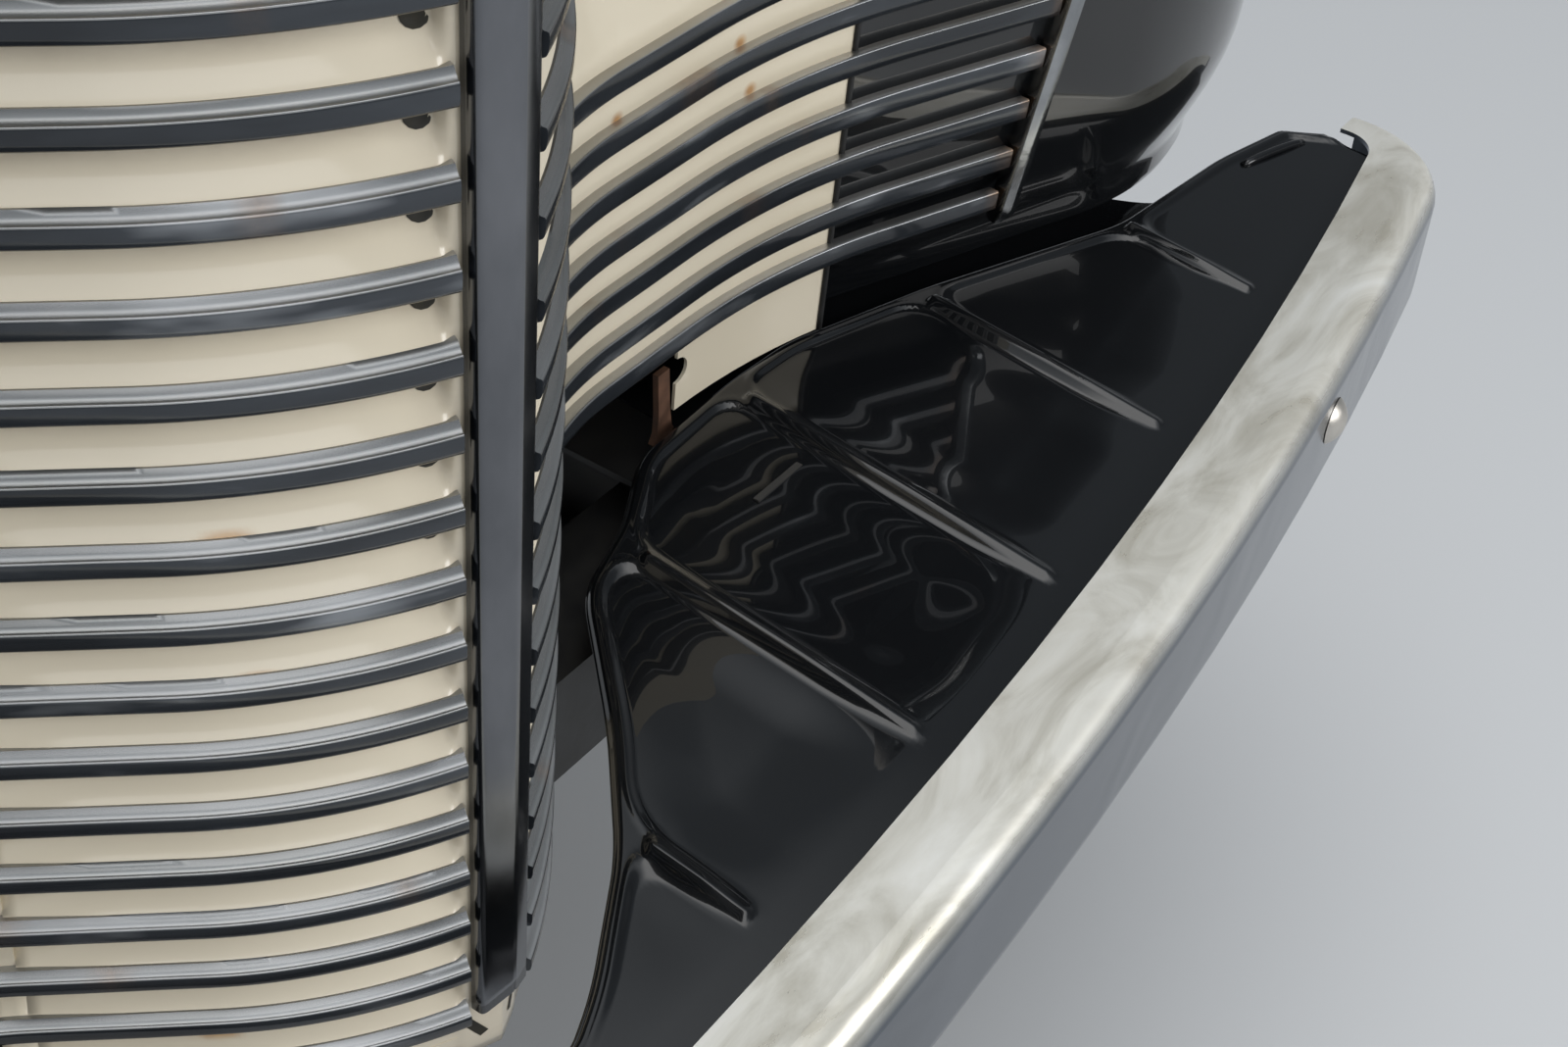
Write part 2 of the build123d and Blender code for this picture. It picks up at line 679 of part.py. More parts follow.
def hood_body(inset, y_end, bottom):
    """Solid inside the hood's outer face, every face moved in by inset."""
    y0 = HOOD_TAPER_Y
    slope = (HOOD_REAR_TOP_Z - HOOD_FRONT_TOP_Z) / HOOD_REAR_Y
    rear = hood_section(y_end, hood_side_x(y_end) - inset, HOOD_FRONT_TOP_Z + slope * y_end - inset,
                        HOOD_REAR_R - inset, HOOD_REAR_CROWN_R - inset, bottom)
    front = hood_section(y0, hood_side_x(y0) - inset, HOOD_FRONT_TOP_Z + slope * y0 - inset,
                         HOOD_FRONT_R - inset, HOOD_FRONT_CROWN_R - inset, bottom)
    tube = Solid.make_loft([front, rear], ruled=True)
    plan = walk((0.0, TIP_Y), TIP_HEADING, [PROW, ("line", FLANK_LEN + 600.0)], -inset)
    z0 = 500.0
    level = lambda x, y: (x, y + lean_y(z0), z0)
    end = plan[-1][2]
    face = loop_face(plan, level, [(end[0], 2000.0), (0.0, 2000.0)])
    prow = Solid.extrude(face, Vector(0, -WALL_LEAN * 1000.0, 1000.0))
    return tube & (prow + other_side(prow))


def nose_room():
    """Space kept for the nose panels and their gap, beyond the hood's swing and below its lip."""
    lip = NOSE_TOP_Z + HOOD_GAP
    return box(-FAR, FAR, -FAR, HOOD_REAR_Y, 0, lip) - hood_swing(SWING_R - HOOD_GAP)


def hood():
    bottom = CATWALK_TOP_Z + HOOD_SIDE_GAP
    outer = hood_body(0.0, HOOD_REAR_Y, bottom)
    inner = hood_body(HOOD_T, HOOD_REAR_Y + 200.0, bottom - 100.0)
    return outer - inner - nose_room()


def hood_inner_z(x, y):
    """Height of the hood's inner face at x and y, near the middle."""
    slope = (HOOD_REAR_TOP_Z - HOOD_FRONT_TOP_Z) / HOOD_REAR_Y
    top = HOOD_FRONT_TOP_Z + slope * y - HOOD_T
    crown = HOOD_REAR_CROWN_R - HOOD_T
    return top - crown + sqrt(crown * crown - x * x)


def barrel(x0, x1, d):
    """Round bar along x on the hinge axis."""
    return Pos((x0 + x1) / 2, HINGE_Y, HINGE_Z) * Rot(0, 90, 0) * Cylinder(d / 2, x1 - x0)


# Firewall and radiator

def firewall():
    slope = (HOOD_REAR_TOP_Z - HOOD_FRONT_TOP_Z) / HOOD_REAR_Y
    top = HOOD_FRONT_TOP_Z + slope * HOOD_REAR_Y

    def outline(y, inset, bottom):
        return hood_section(y, HOOD_REAR_X - inset, top - inset, HOOD_REAR_R - inset,
                            HOOD_REAR_CROWN_R - inset, bottom)

    depth = SPLICE_Y - WALL_Y
    low = SPLICE_Z + RAIL_H / 2
    skin = Solid.extrude(Face(outline(WALL_Y, 0.0, low)), Vector(0, depth, 0))
    room = Solid.extrude(Face(outline(WALL_Y + WALL_T, WALL_T, low - 50.0)), Vector(0, depth, 0))
    wings = box(-SEAM_X, SEAM_X, WALL_Y, WALL_Y + WALL_T, low, CATWALK_TOP_Z)
    return skin - room + wings - box(-FAR, FAR, WALL_Y + WALL_T, FAR, 0, SPLICE_Z + SPLICE_H / 2 + 2)


def core_support():
    low = SPLICE_Z + RAIL_H / 2
    plate = box(-CORE_X, CORE_X, CORE_Y, CORE_Y + CORE_T, low, CATWALK_TOP_Z - SHEET)
    top_half = RAD_X + CORE_MARGIN
    plate += box(-top_half, top_half, CORE_Y, CORE_Y + CORE_T, low, CORE_TOP_Z)
    hole_z0 = RAD_BOTTOM_Z + RAD_TANK_H
    hole_z1 = RAD_TOP_Z - RAD_TANK_H
    half = RAD_X - CORE_LAP
    return plate - box(-half, half, 0, FAR, hole_z0, hole_z1)


def radiator_core():
    y0 = CORE_Y + CORE_T
    return box(-RAD_X, RAD_X, y0, y0 + RAD_T, RAD_BOTTOM_Z + RAD_TANK_H, RAD_TOP_Z - RAD_TANK_H)


def radiator_tank(z0, z1):
    y0 = CORE_Y + CORE_T
    return box(-RAD_X, RAD_X, y0, y0 + RAD_T + TANK_OVER, z0, z1)


def radiator_top():
    tank = radiator_tank(RAD_TOP_Z - RAD_TANK_H, RAD_TOP_Z)
    y = CORE_Y + CORE_T + RAD_T / 2
    neck = Pos(0, y, RAD_TOP_Z + NECK_H / 2) * Cylinder(NECK_D / 2, NECK_H)
    return tank + neck


def radiator_cap():
    y = CORE_Y + CORE_T + RAD_T / 2
    cap = Pos(0, y, RAD_TOP_Z + NECK_H + CAP_H / 2) * Cylinder(CAP_D / 2, CAP_H)
    return fillet(cap.faces().sort_by(Axis.Z)[-1].edges(), 4.0)


def nose_brace():
    """Strut from the core support forward to the inside of the nose panel."""
    bar = box(BRACE_X, BRACE_X + BRACE_T, -FAR / 2, CORE_Y, BRACE_Z - BRACE_W / 2, BRACE_Z + BRACE_W / 2)
    plan = walk((0.0, TIP_Y), TIP_HEADING, [PROW, ("line", FLANK_LEN + 300.0)], -SHEET)
    z0 = 900.0
    level = lambda x, y: (x, y + lean_y(z0), z0)
    end = plan[-1][2]
    face = loop_face(plan, level, [(end[0], 1200.0), (0.0, 1200.0)])
    return bar & Solid.extrude(face, Vector(0, -WALL_LEAN * 300.0, 300.0))


def inner_fender():
    """Upright panel between the wheel and the engine bay."""
    x1 = SEAM_X - INNER_GAP
    low = SPLICE_Z + RAIL_H / 2
    rise = CATWALK_TOP_Z - SHEET - low
    level = lambda x, y: (x, y + lean_y(low), low)
    plan = wall_points(-SHEET - FIT, 3, 5)
    back = 2 * WALL_Y
    room = Solid.extrude(loop_face(plan, level, [(plan[-1][2][0], back), (plan[0][0][0], back)]),
                         Vector(0, -WALL_LEAN * rise, rise))
    panel = box(x1 - SHEET, x1, 0, WALL_Y, low, low + rise) & room
    return panel - box(0, FAR, -FAR, APRON_REACH + FLANGE_W + GUSSET_H, 0, LIP_Z + FIT)


def fender_gusset():
    x0 = RAIL_X + RAIL_W / 2
    x1 = SEAM_X - INNER_GAP - SHEET
    z = SPLICE_Z + RAIL_H / 2
    return box(x0, x1, GUSSET_Y, GUSSET_Y + GUSSET_T, z - GUSSET_H / 2, z + GUSSET_H / 2)


# Lamps

def turned(points_face):
    """Solid turned about the lamp's axis, which points rearward from the bezel's middle."""
    body = revolve(points_face, Axis((0, 0, 0), (0, 1, 0)))
    return Pos(LAMP_X, LAMP_Y, LAMP_Z) * body


def lamp_profile(inset, depth):
    """Half profile of the bucket, radius along x and depth along y."""
    s0 = BEZEL_T / 2
    big = LAMP_R - inset
    tail = LAMP_TAIL_R - inset
    mid = (big * 0.80, s0 + depth * 0.55, 0)
    arc = Edge.make_three_point_arc((big, s0, 0), mid, (tail, s0 + depth, 0))
    es = [arc, Edge.make_line((tail, s0 + depth, 0), (0, s0 + depth, 0)),
          Edge.make_line((0, s0 + depth, 0), (0, s0, 0)), Edge.make_line((0, s0, 0), (big, s0, 0))]
    return Face(Wire(es))


def lamp_bucket():
    body = turned(lamp_profile(0.0, LAMP_LEN))
    bowl = turned(lamp_profile(LAMP_WALL, LAMP_LEN - LAMP_WALL))
    bowl &= box(0, FAR, LAMP_Y - 1, LAMP_Y + BEZEL_T / 2 + LAMP_BOWL, 0, FAR)
    return body - bowl - fender_body(0.0)


def lamp_bezel():
    ring = Rot(90, 0, 0) * (Cylinder(BEZEL_OUT_R, BEZEL_T) - Cylinder(BEZEL_IN_R, BEZEL_T + 2))
    rim = ring.edges().filter_by(GeomType.CIRCLE).group_by(Axis.Y)[0].sort_by(SortBy.RADIUS)[-1]
    return Pos(LAMP_X, LAMP_Y, LAMP_Z) * fillet(rim, 12.0)


def lamp_lens():
    r = BEZEL_IN_R - FIT
    ball = (r * r + LENS_BULGE ** 2) / (2 * LENS_BULGE)
    front = -BEZEL_T / 2 + 6.0
    dome = Pos(0, front - LENS_BULGE + ball, 0) * (Sphere(ball) - Sphere(ball - LENS_T))
    disc = Rot(90, 0, 0) * Cylinder(r, 400)
    cut = Pos(0, front + 8.0 - 500.0, 0) * Box(1000, 1000, 1000)
    return Pos(LAMP_X, LAMP_Y, LAMP_Z) * (dome & disc & cut)


def parking_lamp():
    r = PARK_R
    arc = Edge.make_three_point_arc((r, 0, 0), (r * 0.82, PARK_LEN * 0.55, 0), (2, PARK_LEN, 0))
    nose = Edge.make_three_point_arc((r, 0, 0), (r * 0.7, -r * 0.5, 0), (0, -r * 0.7, 0))
    es = [arc, Edge.make_line((2, PARK_LEN, 0), (0, PARK_LEN, 0)),
          Edge.make_line((0, PARK_LEN, 0), (0, -r * 0.7, 0)), nose]
    body = revolve(Face(Wire(es)), Axis((0, 0, 0), (0, 1, 0)))
    z = LAMP_Z + LAMP_R + PARK_RISE
    stem = Pos(LAMP_X, PARK_Y + 30, z - 30) * Box(16, 50, 60)
    body = Pos(LAMP_X, PARK_Y, z) * body + stem
    return body - turned(lamp_profile(0.0, LAMP_LEN))


# Hood hinges

def hinge_fixed():
    """Leaf on the firewall with the two outer knuckles."""
    x0 = HINGE_X - HINGE_W / 2
    x1 = HINGE_X + HINGE_W / 2
    third = HINGE_W / 3
    y0 = WALL_Y - HINGE_LEAF_T
    r = HINGE_BARREL_D / 2
    leaf = box(x0, x1, y0, WALL_Y, HINGE_Z - HINGE_LEAF, HINGE_Z - r - 2)
    for a, b in ((x0, x0 + third - FIT), (x1 - third + FIT, x1)):
        leaf += box(a, b, y0, WALL_Y, HINGE_Z - HINGE_LEAF, HINGE_Z)
        leaf += barrel(a, b, HINGE_BARREL_D)
    return leaf - barrel(x0 - 1, x1 + 1, HINGE_PIN_D)


def hinge_moving():
    """Pad under the hood's rear edge with the middle knuckle."""
    x0 = HINGE_X - HINGE_W / 2
    x1 = HINGE_X + HINGE_W / 2
    third = HINGE_W / 3
    r = HINGE_BARREL_D / 2
    pad = box(x0, x1, HOOD_REAR_Y - HINGE_PAD, HOOD_REAR_Y, hood_inner_z(x1, HOOD_REAR_Y) - HINGE_PAD_T, FAR)
    pad &= hood_body(HOOD_T, HOOD_REAR_Y + 200.0, CATWALK_TOP_Z)
    a = x0 + third + FIT
    b = x1 - third - FIT
    pad += box(a, b, HOOD_REAR_Y - 4, HINGE_Y, HINGE_Z - r, HINGE_Z)
    pad += barrel(a, b, HINGE_BARREL_D)
    return pad - barrel(a - 1, b + 1, HINGE_PIN_D + 2 * HINGE_PIN_FIT) - hood()


def hinge_pin():
    return barrel(HINGE_X - HINGE_W / 2 - 1, HINGE_X + HINGE_W / 2 + 1, HINGE_PIN_D)


PARTS = {}


def add(name, shape):
    PARTS[name] = shape


def pair(name, shape):
    add(name + "_left", shape)
    add(name + "_right", other_side(shape))


def build():
    pair("frame_rail", frame_rail())
    pair("splice_plate", splice_plate())
    add("front_crossmember", crossmember())
    add("bumper_bar", bumper_bar())
    pair("bumper_iron", bumper_iron())
    pair("bumper_bolt", bumper_bolt())
    add("splash_apron", splash_apron())
    pair("apron_bracket", apron_bracket())
    pair("nose_panel", nose_panel())
    pair("grille_bars", grille_bars())
    add("centre_strip", centre_strip())
    pair("end_strip", end_strip())
    pair("catwalk_panel", catwalk_panel())
    pair("fender", fender())
    pair("inner_fender", inner_fender())
    pair("fender_gusset", fender_gusset())
    add("hood", hood())
    pair("hinge_leaf", hinge_fixed())
    pair("hinge_pad", hinge_moving())
    pair("hinge_pin", hinge_pin())
    add("firewall", firewall())
    add("core_support", core_support())
    add("radiator_core", radiator_core())
    add("radiator_top_tank", radiator_top())
    add("radiator_bottom_tank", radiator_tank(RAD_BOTTOM_Z, RAD_BOTTOM_Z + RAD_TANK_H))
    add("radiator_cap", radiator_cap())
    pair("nose_brace", nose_brace())
    pair("headlamp_bucket", lamp_bucket())
    pair("headlamp_bezel", lamp_bezel())
    pair("headlamp_lens", lamp_lens())
    pair("parking_lamp", parking_lamp())


def main():
    os.makedirs("parts", exist_ok=True)
    build()
    move = Pos(0, -SPLICE_Y, -SPLICE_Z)
    for name, shape in PARTS.items():
        export_step(move * shape, "parts/" + name + ".step")


main()
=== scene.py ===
import json
import math
from collections import namedtuple

import bpy
import bmesh
from mathutils import Matrix, Vector, noise


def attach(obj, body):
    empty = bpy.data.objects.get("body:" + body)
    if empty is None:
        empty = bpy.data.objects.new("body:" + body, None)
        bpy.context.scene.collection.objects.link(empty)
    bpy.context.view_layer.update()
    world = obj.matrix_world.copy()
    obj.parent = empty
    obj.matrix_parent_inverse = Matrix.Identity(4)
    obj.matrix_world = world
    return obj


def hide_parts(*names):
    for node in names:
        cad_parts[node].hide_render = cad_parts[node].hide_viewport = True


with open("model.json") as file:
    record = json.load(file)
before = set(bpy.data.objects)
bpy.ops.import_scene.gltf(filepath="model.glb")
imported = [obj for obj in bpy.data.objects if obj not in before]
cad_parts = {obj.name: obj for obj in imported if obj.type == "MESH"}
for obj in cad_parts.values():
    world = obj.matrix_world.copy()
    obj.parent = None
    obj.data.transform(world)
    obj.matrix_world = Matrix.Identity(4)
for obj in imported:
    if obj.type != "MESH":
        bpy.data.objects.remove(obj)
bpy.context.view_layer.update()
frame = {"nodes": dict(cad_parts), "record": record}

# Shop coordinates in mm: x to the vehicle's left, y rearward from the bumper, z up from the road
SPLICE_Y = 1150.0
SPLICE_Z = 500.0
SIDES = ((1, "left"), (-1, "right"))

# Body wall in plan: its legs from the middle outward, (kind, radius or length, turn in degrees)
WALL_REF_Z = 645.5
WALL_LEAN = 0.08
TIP_Y = 74.0
TIP_HEADING = 22.0
LEGS = [("arc", 250.0, 27.0), ("line", 73.5, 0.0), ("arc", 190.0, -49.0), ("line", 63.4, 0.0),
        ("arc", 409.0, -21.5), ("line", 174.1, 0.0), ("arc", 207.0, 111.5), ("line", 780.0, 0.0)]
NOSE_BOTTOM_Z = 547.0
NOSE_TOP_Z = 1150.0
CATWALK_TOP_Z = 900.0
SEAM_X = 467.0
LIP_Z = 592.0

# Chrome bars, numbered from the lowest long one; their section changes from nose to wing
BAR_PITCH = 32.5
BAR_BASE_Z = WALL_REF_Z - 6.0
BAR_TOP = 12.0
BAR_MID = 6.0
BAR_DEPTH = 8.0
BAR_NOSE_R = 1.1
NOSE_BAR_UP = 3.0
NOSE_BAR_RISE = 3.1
WING_BAR_LOW = -1.4
WING_BAR_RISE = -1.1
WING_FOOT = -1.0
BARS_BELOW = 2
LONG_BARS = 7
BARS_ABOVE = 9
BAR_START_X = 17.0
LOW_BAR_LIFT = 4.5
BAR_WAVE = 0.25
END_RUST = 9.0

# Coves of the nose skin, and the strip of nose that runs on below the catwalk
SCALLOP = 5.5
SHOULDER = 3.0
COVE_FLAT = 0.25
COVE_POWER = 1.8
COVE_ROWS = [0.0, 0.22, 0.345, 0.352, 0.37, 0.40, 0.45, 0.51, 0.58, 0.67, 0.77, 0.88]
NOSE_TAIL = 14.0
TAIL_TOP_Z = 636.0
TAIL_COLUMNS = 4
STRIP_EDGE = (15.0, 20.0)
STRIP_BED = 0.3
PLAIN_OFF = -0.3

# Grime and painted shade high in the coves, as heights above the bar below, and a darkening
# beside the centre strip, as distances from the middle
GRIME_AND_SHADE_RISE = (17.0, 31.0)
GRIME_AND_SHADE_UNDER = 11.0
STRIP_SIDE_DARKENING = (15.0, 34.0)

# Rust coming through the nose's cream as (x, z, radius), and through the wing's as (x, y, z)
RUST_SPOTS = [(77.0, 881.0, 6.5), (73.0, 815.0, 6.0), (72.0, 683.0, 7.0), (96.0, 597.0, 6.0)]
RUST_STRETCH = 2.6
WING_RUST = [(288.7, 249.3, 813.0), (383.1, 247.8, 815.0), (394.1, 249.3, 783.0)]

# Drain holes, painted as near-black discs of shade, rims as (radius, proud of the skin), and the
# slot below the strip, a near-black sheet of painted shade, as (x, z)
HOLE_X = 22.5
HOLE_DROP = 6.0
HOLE_RIMS = [(4.9, 0.35), (4.3, 0.55), (3.6, 0.1)]
HOLE_SPOKES = 14
SLOT = [(17.0, 580.0), (6.0, 560.0), (9.5, 557.5), (20.0, 576.5)]
SLOT_PROUD = 0.6

# Centre strip, half section as (x, drop behind its face)
STRIP_HALF = 14.0
STRIP_DEPTH = 7.5
STRIP_BOTTOM_Z = 589.0
STRIP_TOP_Z = 1146.0
STRIP_CUT = 8.0
STRIP_TIP_LIFT = 2.0
STRIP_STEPS = 60
STRIP_SECTION = [(0.0, 0.5), (0.6, 0.12), (1.4, 0.0), (STRIP_HALF - 2.2, 0.0),
                 (STRIP_HALF - 1.0, 0.25), (STRIP_HALF - 0.3, 0.9), (STRIP_HALF, 2.2),
                 (STRIP_HALF, 6.6)]

# End strips, section as (across, out from the wall)
END_STRIP_X = 582.0
END_STRIP_TILT = 0.144
END_STRIP_W = 12.0
END_STRIP_OVER = 8.0
END_GAP = 3.0
END_STEPS = 32
END_HALF = END_STRIP_W / 2
END_SECTION = [(-END_HALF, 0.0), (-END_HALF, 9.0), (-END_HALF + 1.2, 11.6), (-1.0, 12.8),
               (1.0, 12.8), (END_HALF - 1.2, 11.6), (END_HALF, 9.0), (END_HALF, 0.0)]

# Welt in the fender seam
WELT_R = 1.9
WELT_STEPS = 24

# Fender: profiles from the side and the front, wheel opening, rolled lip and rows of its mesh
CROWN_Z = 1000.0
CROWN_FRONT_Y = 125.0
CROWN_FRONT_R = 330.0
CROWN_BACK_R = 1400.0
CROWN_OVER = 14.0
CROWN_IN_R = 362.0
CROWN_IN_TURN = 40.0
CROWN_OUT_R = 250.0
CROWN_OUT_TURN = 75.0
WHEEL_Y = 560.0
WHEEL_Z = 356.0
ARCH_R = 430.0
ARCH_X = 700.0
FENDER_REAR_Y = 1130.0
FENDER_SIDE_X = 944.5
CORE_IN = 110.0
CORE_UP = 830.0
TUCK = 22.0
TUCK_Z = 690.0
BLEND = 50.0
LIP_BEAD = 3.0
LIP_BEAD_UP = 5.0
LIP_RETURN = [(16.0, 5.0), (13.0, 0.5), (4.0, 0.0)]
SIDE_ROWS = 19
ROUND_ROWS = 14
TOP_ROWS = 16
SIDE_STEPS = 46
MARCH_REACH = 420.0
MARCH_STEPS = 18
SEAM_FIT = 1.0
SEAM_DROP = 2.0

# Strap behind each skirt's notch, its section and its (height, growth of the foot)
STRAP_X = (340.0, 350.0)
STRAP_Y = (268.0, 272.0)
STRAP_LEVELS = [(576.0, 5.0), (582.0, 1.5), (596.0, 0.0), (622.0, 0.0)]

# Nose struts, which reach the core support
STRUT_X = 92.0
STRUT_T = 4.0
STRUT_Z = 1060.0
STRUT_W = 24.0
STRUT_GAP = 9.0
STRUT_TIP = 3.0
STRUT_FOOT = (20.0, 22.5)
STRUT_FOOT_W = 26.0
CORE_Y = 436.0

# Headlamp insides: bowl, bulb and socket, with places behind the lamp's front face
LAMP_X = 670.0
LAMP_Y = 188.0
LAMP_Z = 998.0
BOWL_R = 85.0
BOWL_NECK_R = 6.0
BOWL_MOUTH = 30.0
BOWL_DEEP = 52.0
BOWL_RINGS = 15
BOWL_SPOKES = 48
BULB_R = 11.0
BULB_HALF = 14.0
BULB_AT = 58.0
BULB_RINGS = 11
SOCKET_R = 9.0
SOCKET_AT = (66.0, 82.0)
BULB_SPOKES = 20

# Splash apron; rear edge and ribs are shares of its half width and reach, from the middle out
APRON_Z = 561.0
APRON_RISE = 0.112
APRON_TUCK = 18.0
APRON_HALF = 892.0
APRON_REACH = 264.0
APRON_COLUMNS = 330
APRON_ROWS = 96
APRON_CORNER = 8.0
APRON_CORNER_Y = 88.0
BUMPER_BOW_R = 4562.0
FLANGE_START_X = 352.0
FLANGE_W = 60.0
FLANGE_TIP_W = 3.0
FLANGE_DROP = 12.0
FLANGE_END = 0.85
FLANGE_STEPS = 90
APRON_REAR = [(0.0, 0.167), (0.038, 0.223), (0.109, 0.371), (0.171, 0.564), (0.24, 0.822),
              (0.295, 0.879), (0.349, 0.985), (0.444, 1.0), (0.502, 0.989), (0.617, 0.875),
              (0.781, 0.67), (0.908, 0.629), (0.991, 0.568), (1.0, 0.455)]
RIBS = [(0.123, 0.091, 0.348), (0.283, 0.106, 0.795), (0.439, 0.133, 0.939),
        (0.607, 0.201, 0.841), (0.781, 0.28, 0.652)]
RIB_END = 7.0
RIB_W = 4.6
RIB_TALL = 2.6
PANEL_INSET = 5.2
PANEL_BACK = 9.0
PANEL_SINK = 2.0
PANEL_DISH = 1.4
PANEL_EDGE = 0.6
REAR_ROLL = 5.0
REAR_ROLL_W = 5.5

# Short bead near each outer end of the apron
BEAD_X = 818.0
BEAD_LENGTH = 56.0
BEAD_BACK = 16.0
BEAD_SKEW = 4.0
BEAD_R = 3.0
BEAD_STEPS = 12

# Sheet thickness in metres
NOSE_SHEET = 0.0012
STRIP_SHEET = 0.0014
FENDER_SHEET = 0.0015
APRON_SHEET = 0.0016
BOWL_SHEET = 0.0008

# Studio and camera, in metres and degrees
FLOOR_HALF = 8.0
FLOOR_Z = -0.5
SKY_STRENGTH = 3.0
HEADING = math.radians(35.198)
PITCH = math.radians(40.8)
ROLL = math.radians(2.063)
EYE = (-401.31, -343.05, 1345.81)
LENS = 50.0
SENSOR = 36.0


def at(x, y, z):
    """Row-frame point in metres from shop coordinates in mm."""
    return Vector((x / 1000, (y - SPLICE_Y) / 1000, (z - SPLICE_Z) / 1000))


def metres(v):
    return at(v.x, v.y, v.z)


def smooth(a, b, v):
    """Soft step from 0 at a to 1 at b."""
    t = min(1.0, max(0.0, (v - a) / (b - a)))
    return t * t * (3 - 2 * t)


# Node helpers

def link(tree, a, out, b, into):
    tree.links.new(a.outputs[out], b.inputs[into])


def surface(name, color, metallic=0.0, roughness=0.5, **more):
    m = bpy.data.materials.new(name)
    m.use_nodes = True
    p = m.node_tree.nodes["Principled BSDF"]
    p.inputs["Base Color"].default_value = (*color, 1)
    p.inputs["Metallic"].default_value = metallic
    p.inputs["Roughness"].default_value = roughness
    for key, value in more.items():
        p.inputs[key.replace("_", " ")].default_value = value
    return m


def place_coord(tree, scale=(1, 1, 1)):
    """Object coordinates, in metres, stretched by scale."""
    tc = tree.nodes.new("ShaderNodeTexCoord")
    mp = tree.nodes.new("ShaderNodeMapping")
    mp.inputs["Scale"].default_value = scale
    link(tree, tc, "Object", mp, "Vector")
    return mp


def noise_node(tree, scale, detail=3.0, stretch=(1, 1, 1), rough=0.5, warp=0.0):
    n = tree.nodes.new("ShaderNodeTexNoise")
    n.inputs["Scale"].default_value = scale
    n.inputs["Detail"].default_value = detail
    n.inputs["Roughness"].default_value = rough
    n.inputs["Distortion"].default_value = warp
    link(tree, place_coord(tree, stretch), "Vector", n, "Vector")
    return n


def ramp(tree, source, out, stops):
    """Colour ramp fed by one output; each stop is (position, colour)."""
    r = tree.nodes.new("ShaderNodeValToRGB")
    while len(r.color_ramp.elements) < len(stops):
        r.color_ramp.elements.new(0.5)
    for e, (pos, col) in zip(r.color_ramp.elements, stops):
        e.position = pos
        e.color = (*col, 1)
    link(tree, source, out, r, "Fac")
    return r


def span(tree, source, out, a, b, to_a, to_b):
    """Value from a to b spread over to_a to to_b."""
    n = tree.nodes.new("ShaderNodeMapRange")
    n.inputs["From Min"].default_value = a
    n.inputs["From Max"].default_value = b
    n.inputs["To Min"].default_value = to_a
    n.inputs["To Max"].default_value = to_b
    link(tree, source, out, n, "Value")
    return n


def feed(tree, socket, value):
    """Gives a socket a (node, output) pair or a constant."""
    if isinstance(value, tuple) and not isinstance(value[0], float):
        tree.links.new(value[0].outputs[value[1]], socket)
    else:
        socket.default_value = (*value, 1) if isinstance(value, tuple) else value


def mix(tree, fac, fac_out, a, b):
    """Colour mix; a and b are a colour or a (node, output) pair."""
    n = tree.nodes.new("ShaderNodeMix")
    n.data_type = "RGBA"
    link(tree, fac, fac_out, n, 0)
    feed(tree, n.inputs[6], a)
    feed(tree, n.inputs[7], b)
    return n


def math_node(tree, op, *values):
    """Math on numbers or (node, output) pairs."""
    n = tree.nodes.new("ShaderNodeMath")
    n.operation = op
    for socket, value in zip(n.inputs, values):
        feed(tree, socket, value)
    return n


def bump(tree, source, distance, strength):
    b = tree.nodes.new("ShaderNodeBump")
    b.inputs["Distance"].default_value = distance
    b.inputs["Strength"].default_value = strength
    link(tree, source, "Fac", b, "Height")
    link(tree, b, "Normal", tree.nodes["Principled BSDF"], "Normal")


def up_facing(tree, low, high):
    """0 to 1 as the true surface turns from low to high upward share."""
    g = tree.nodes.new("ShaderNodeNewGeometry")
    s = tree.nodes.new("ShaderNodeSeparateXYZ")
    link(tree, g, "Normal", s, "Vector")
    return span(tree, s, "Z", low, high, 0.0, 1.0)


def attr(tree, name):
    a = tree.nodes.new("ShaderNodeAttribute")
    a.attribute_name = name
    return a


def near_place(tree, place):
    """0 to 0.85 close to a shop point, on either side of the vehicle."""
    away = tree.nodes.new("ShaderNodeVectorMath")
    away.operation = "ABSOLUTE"
    link(tree, place_coord(tree), "Vector", away, 0)
    dist = tree.nodes.new("ShaderNodeVectorMath")
    dist.operation = "DISTANCE"
    link(tree, away, "Vector", dist, 0)
    dist.inputs[1].default_value = [abs(v) for v in at(*place)]
    return span(tree, dist, "Value", 0.0055, 0.0015, 0.0, 0.85)


# Materials

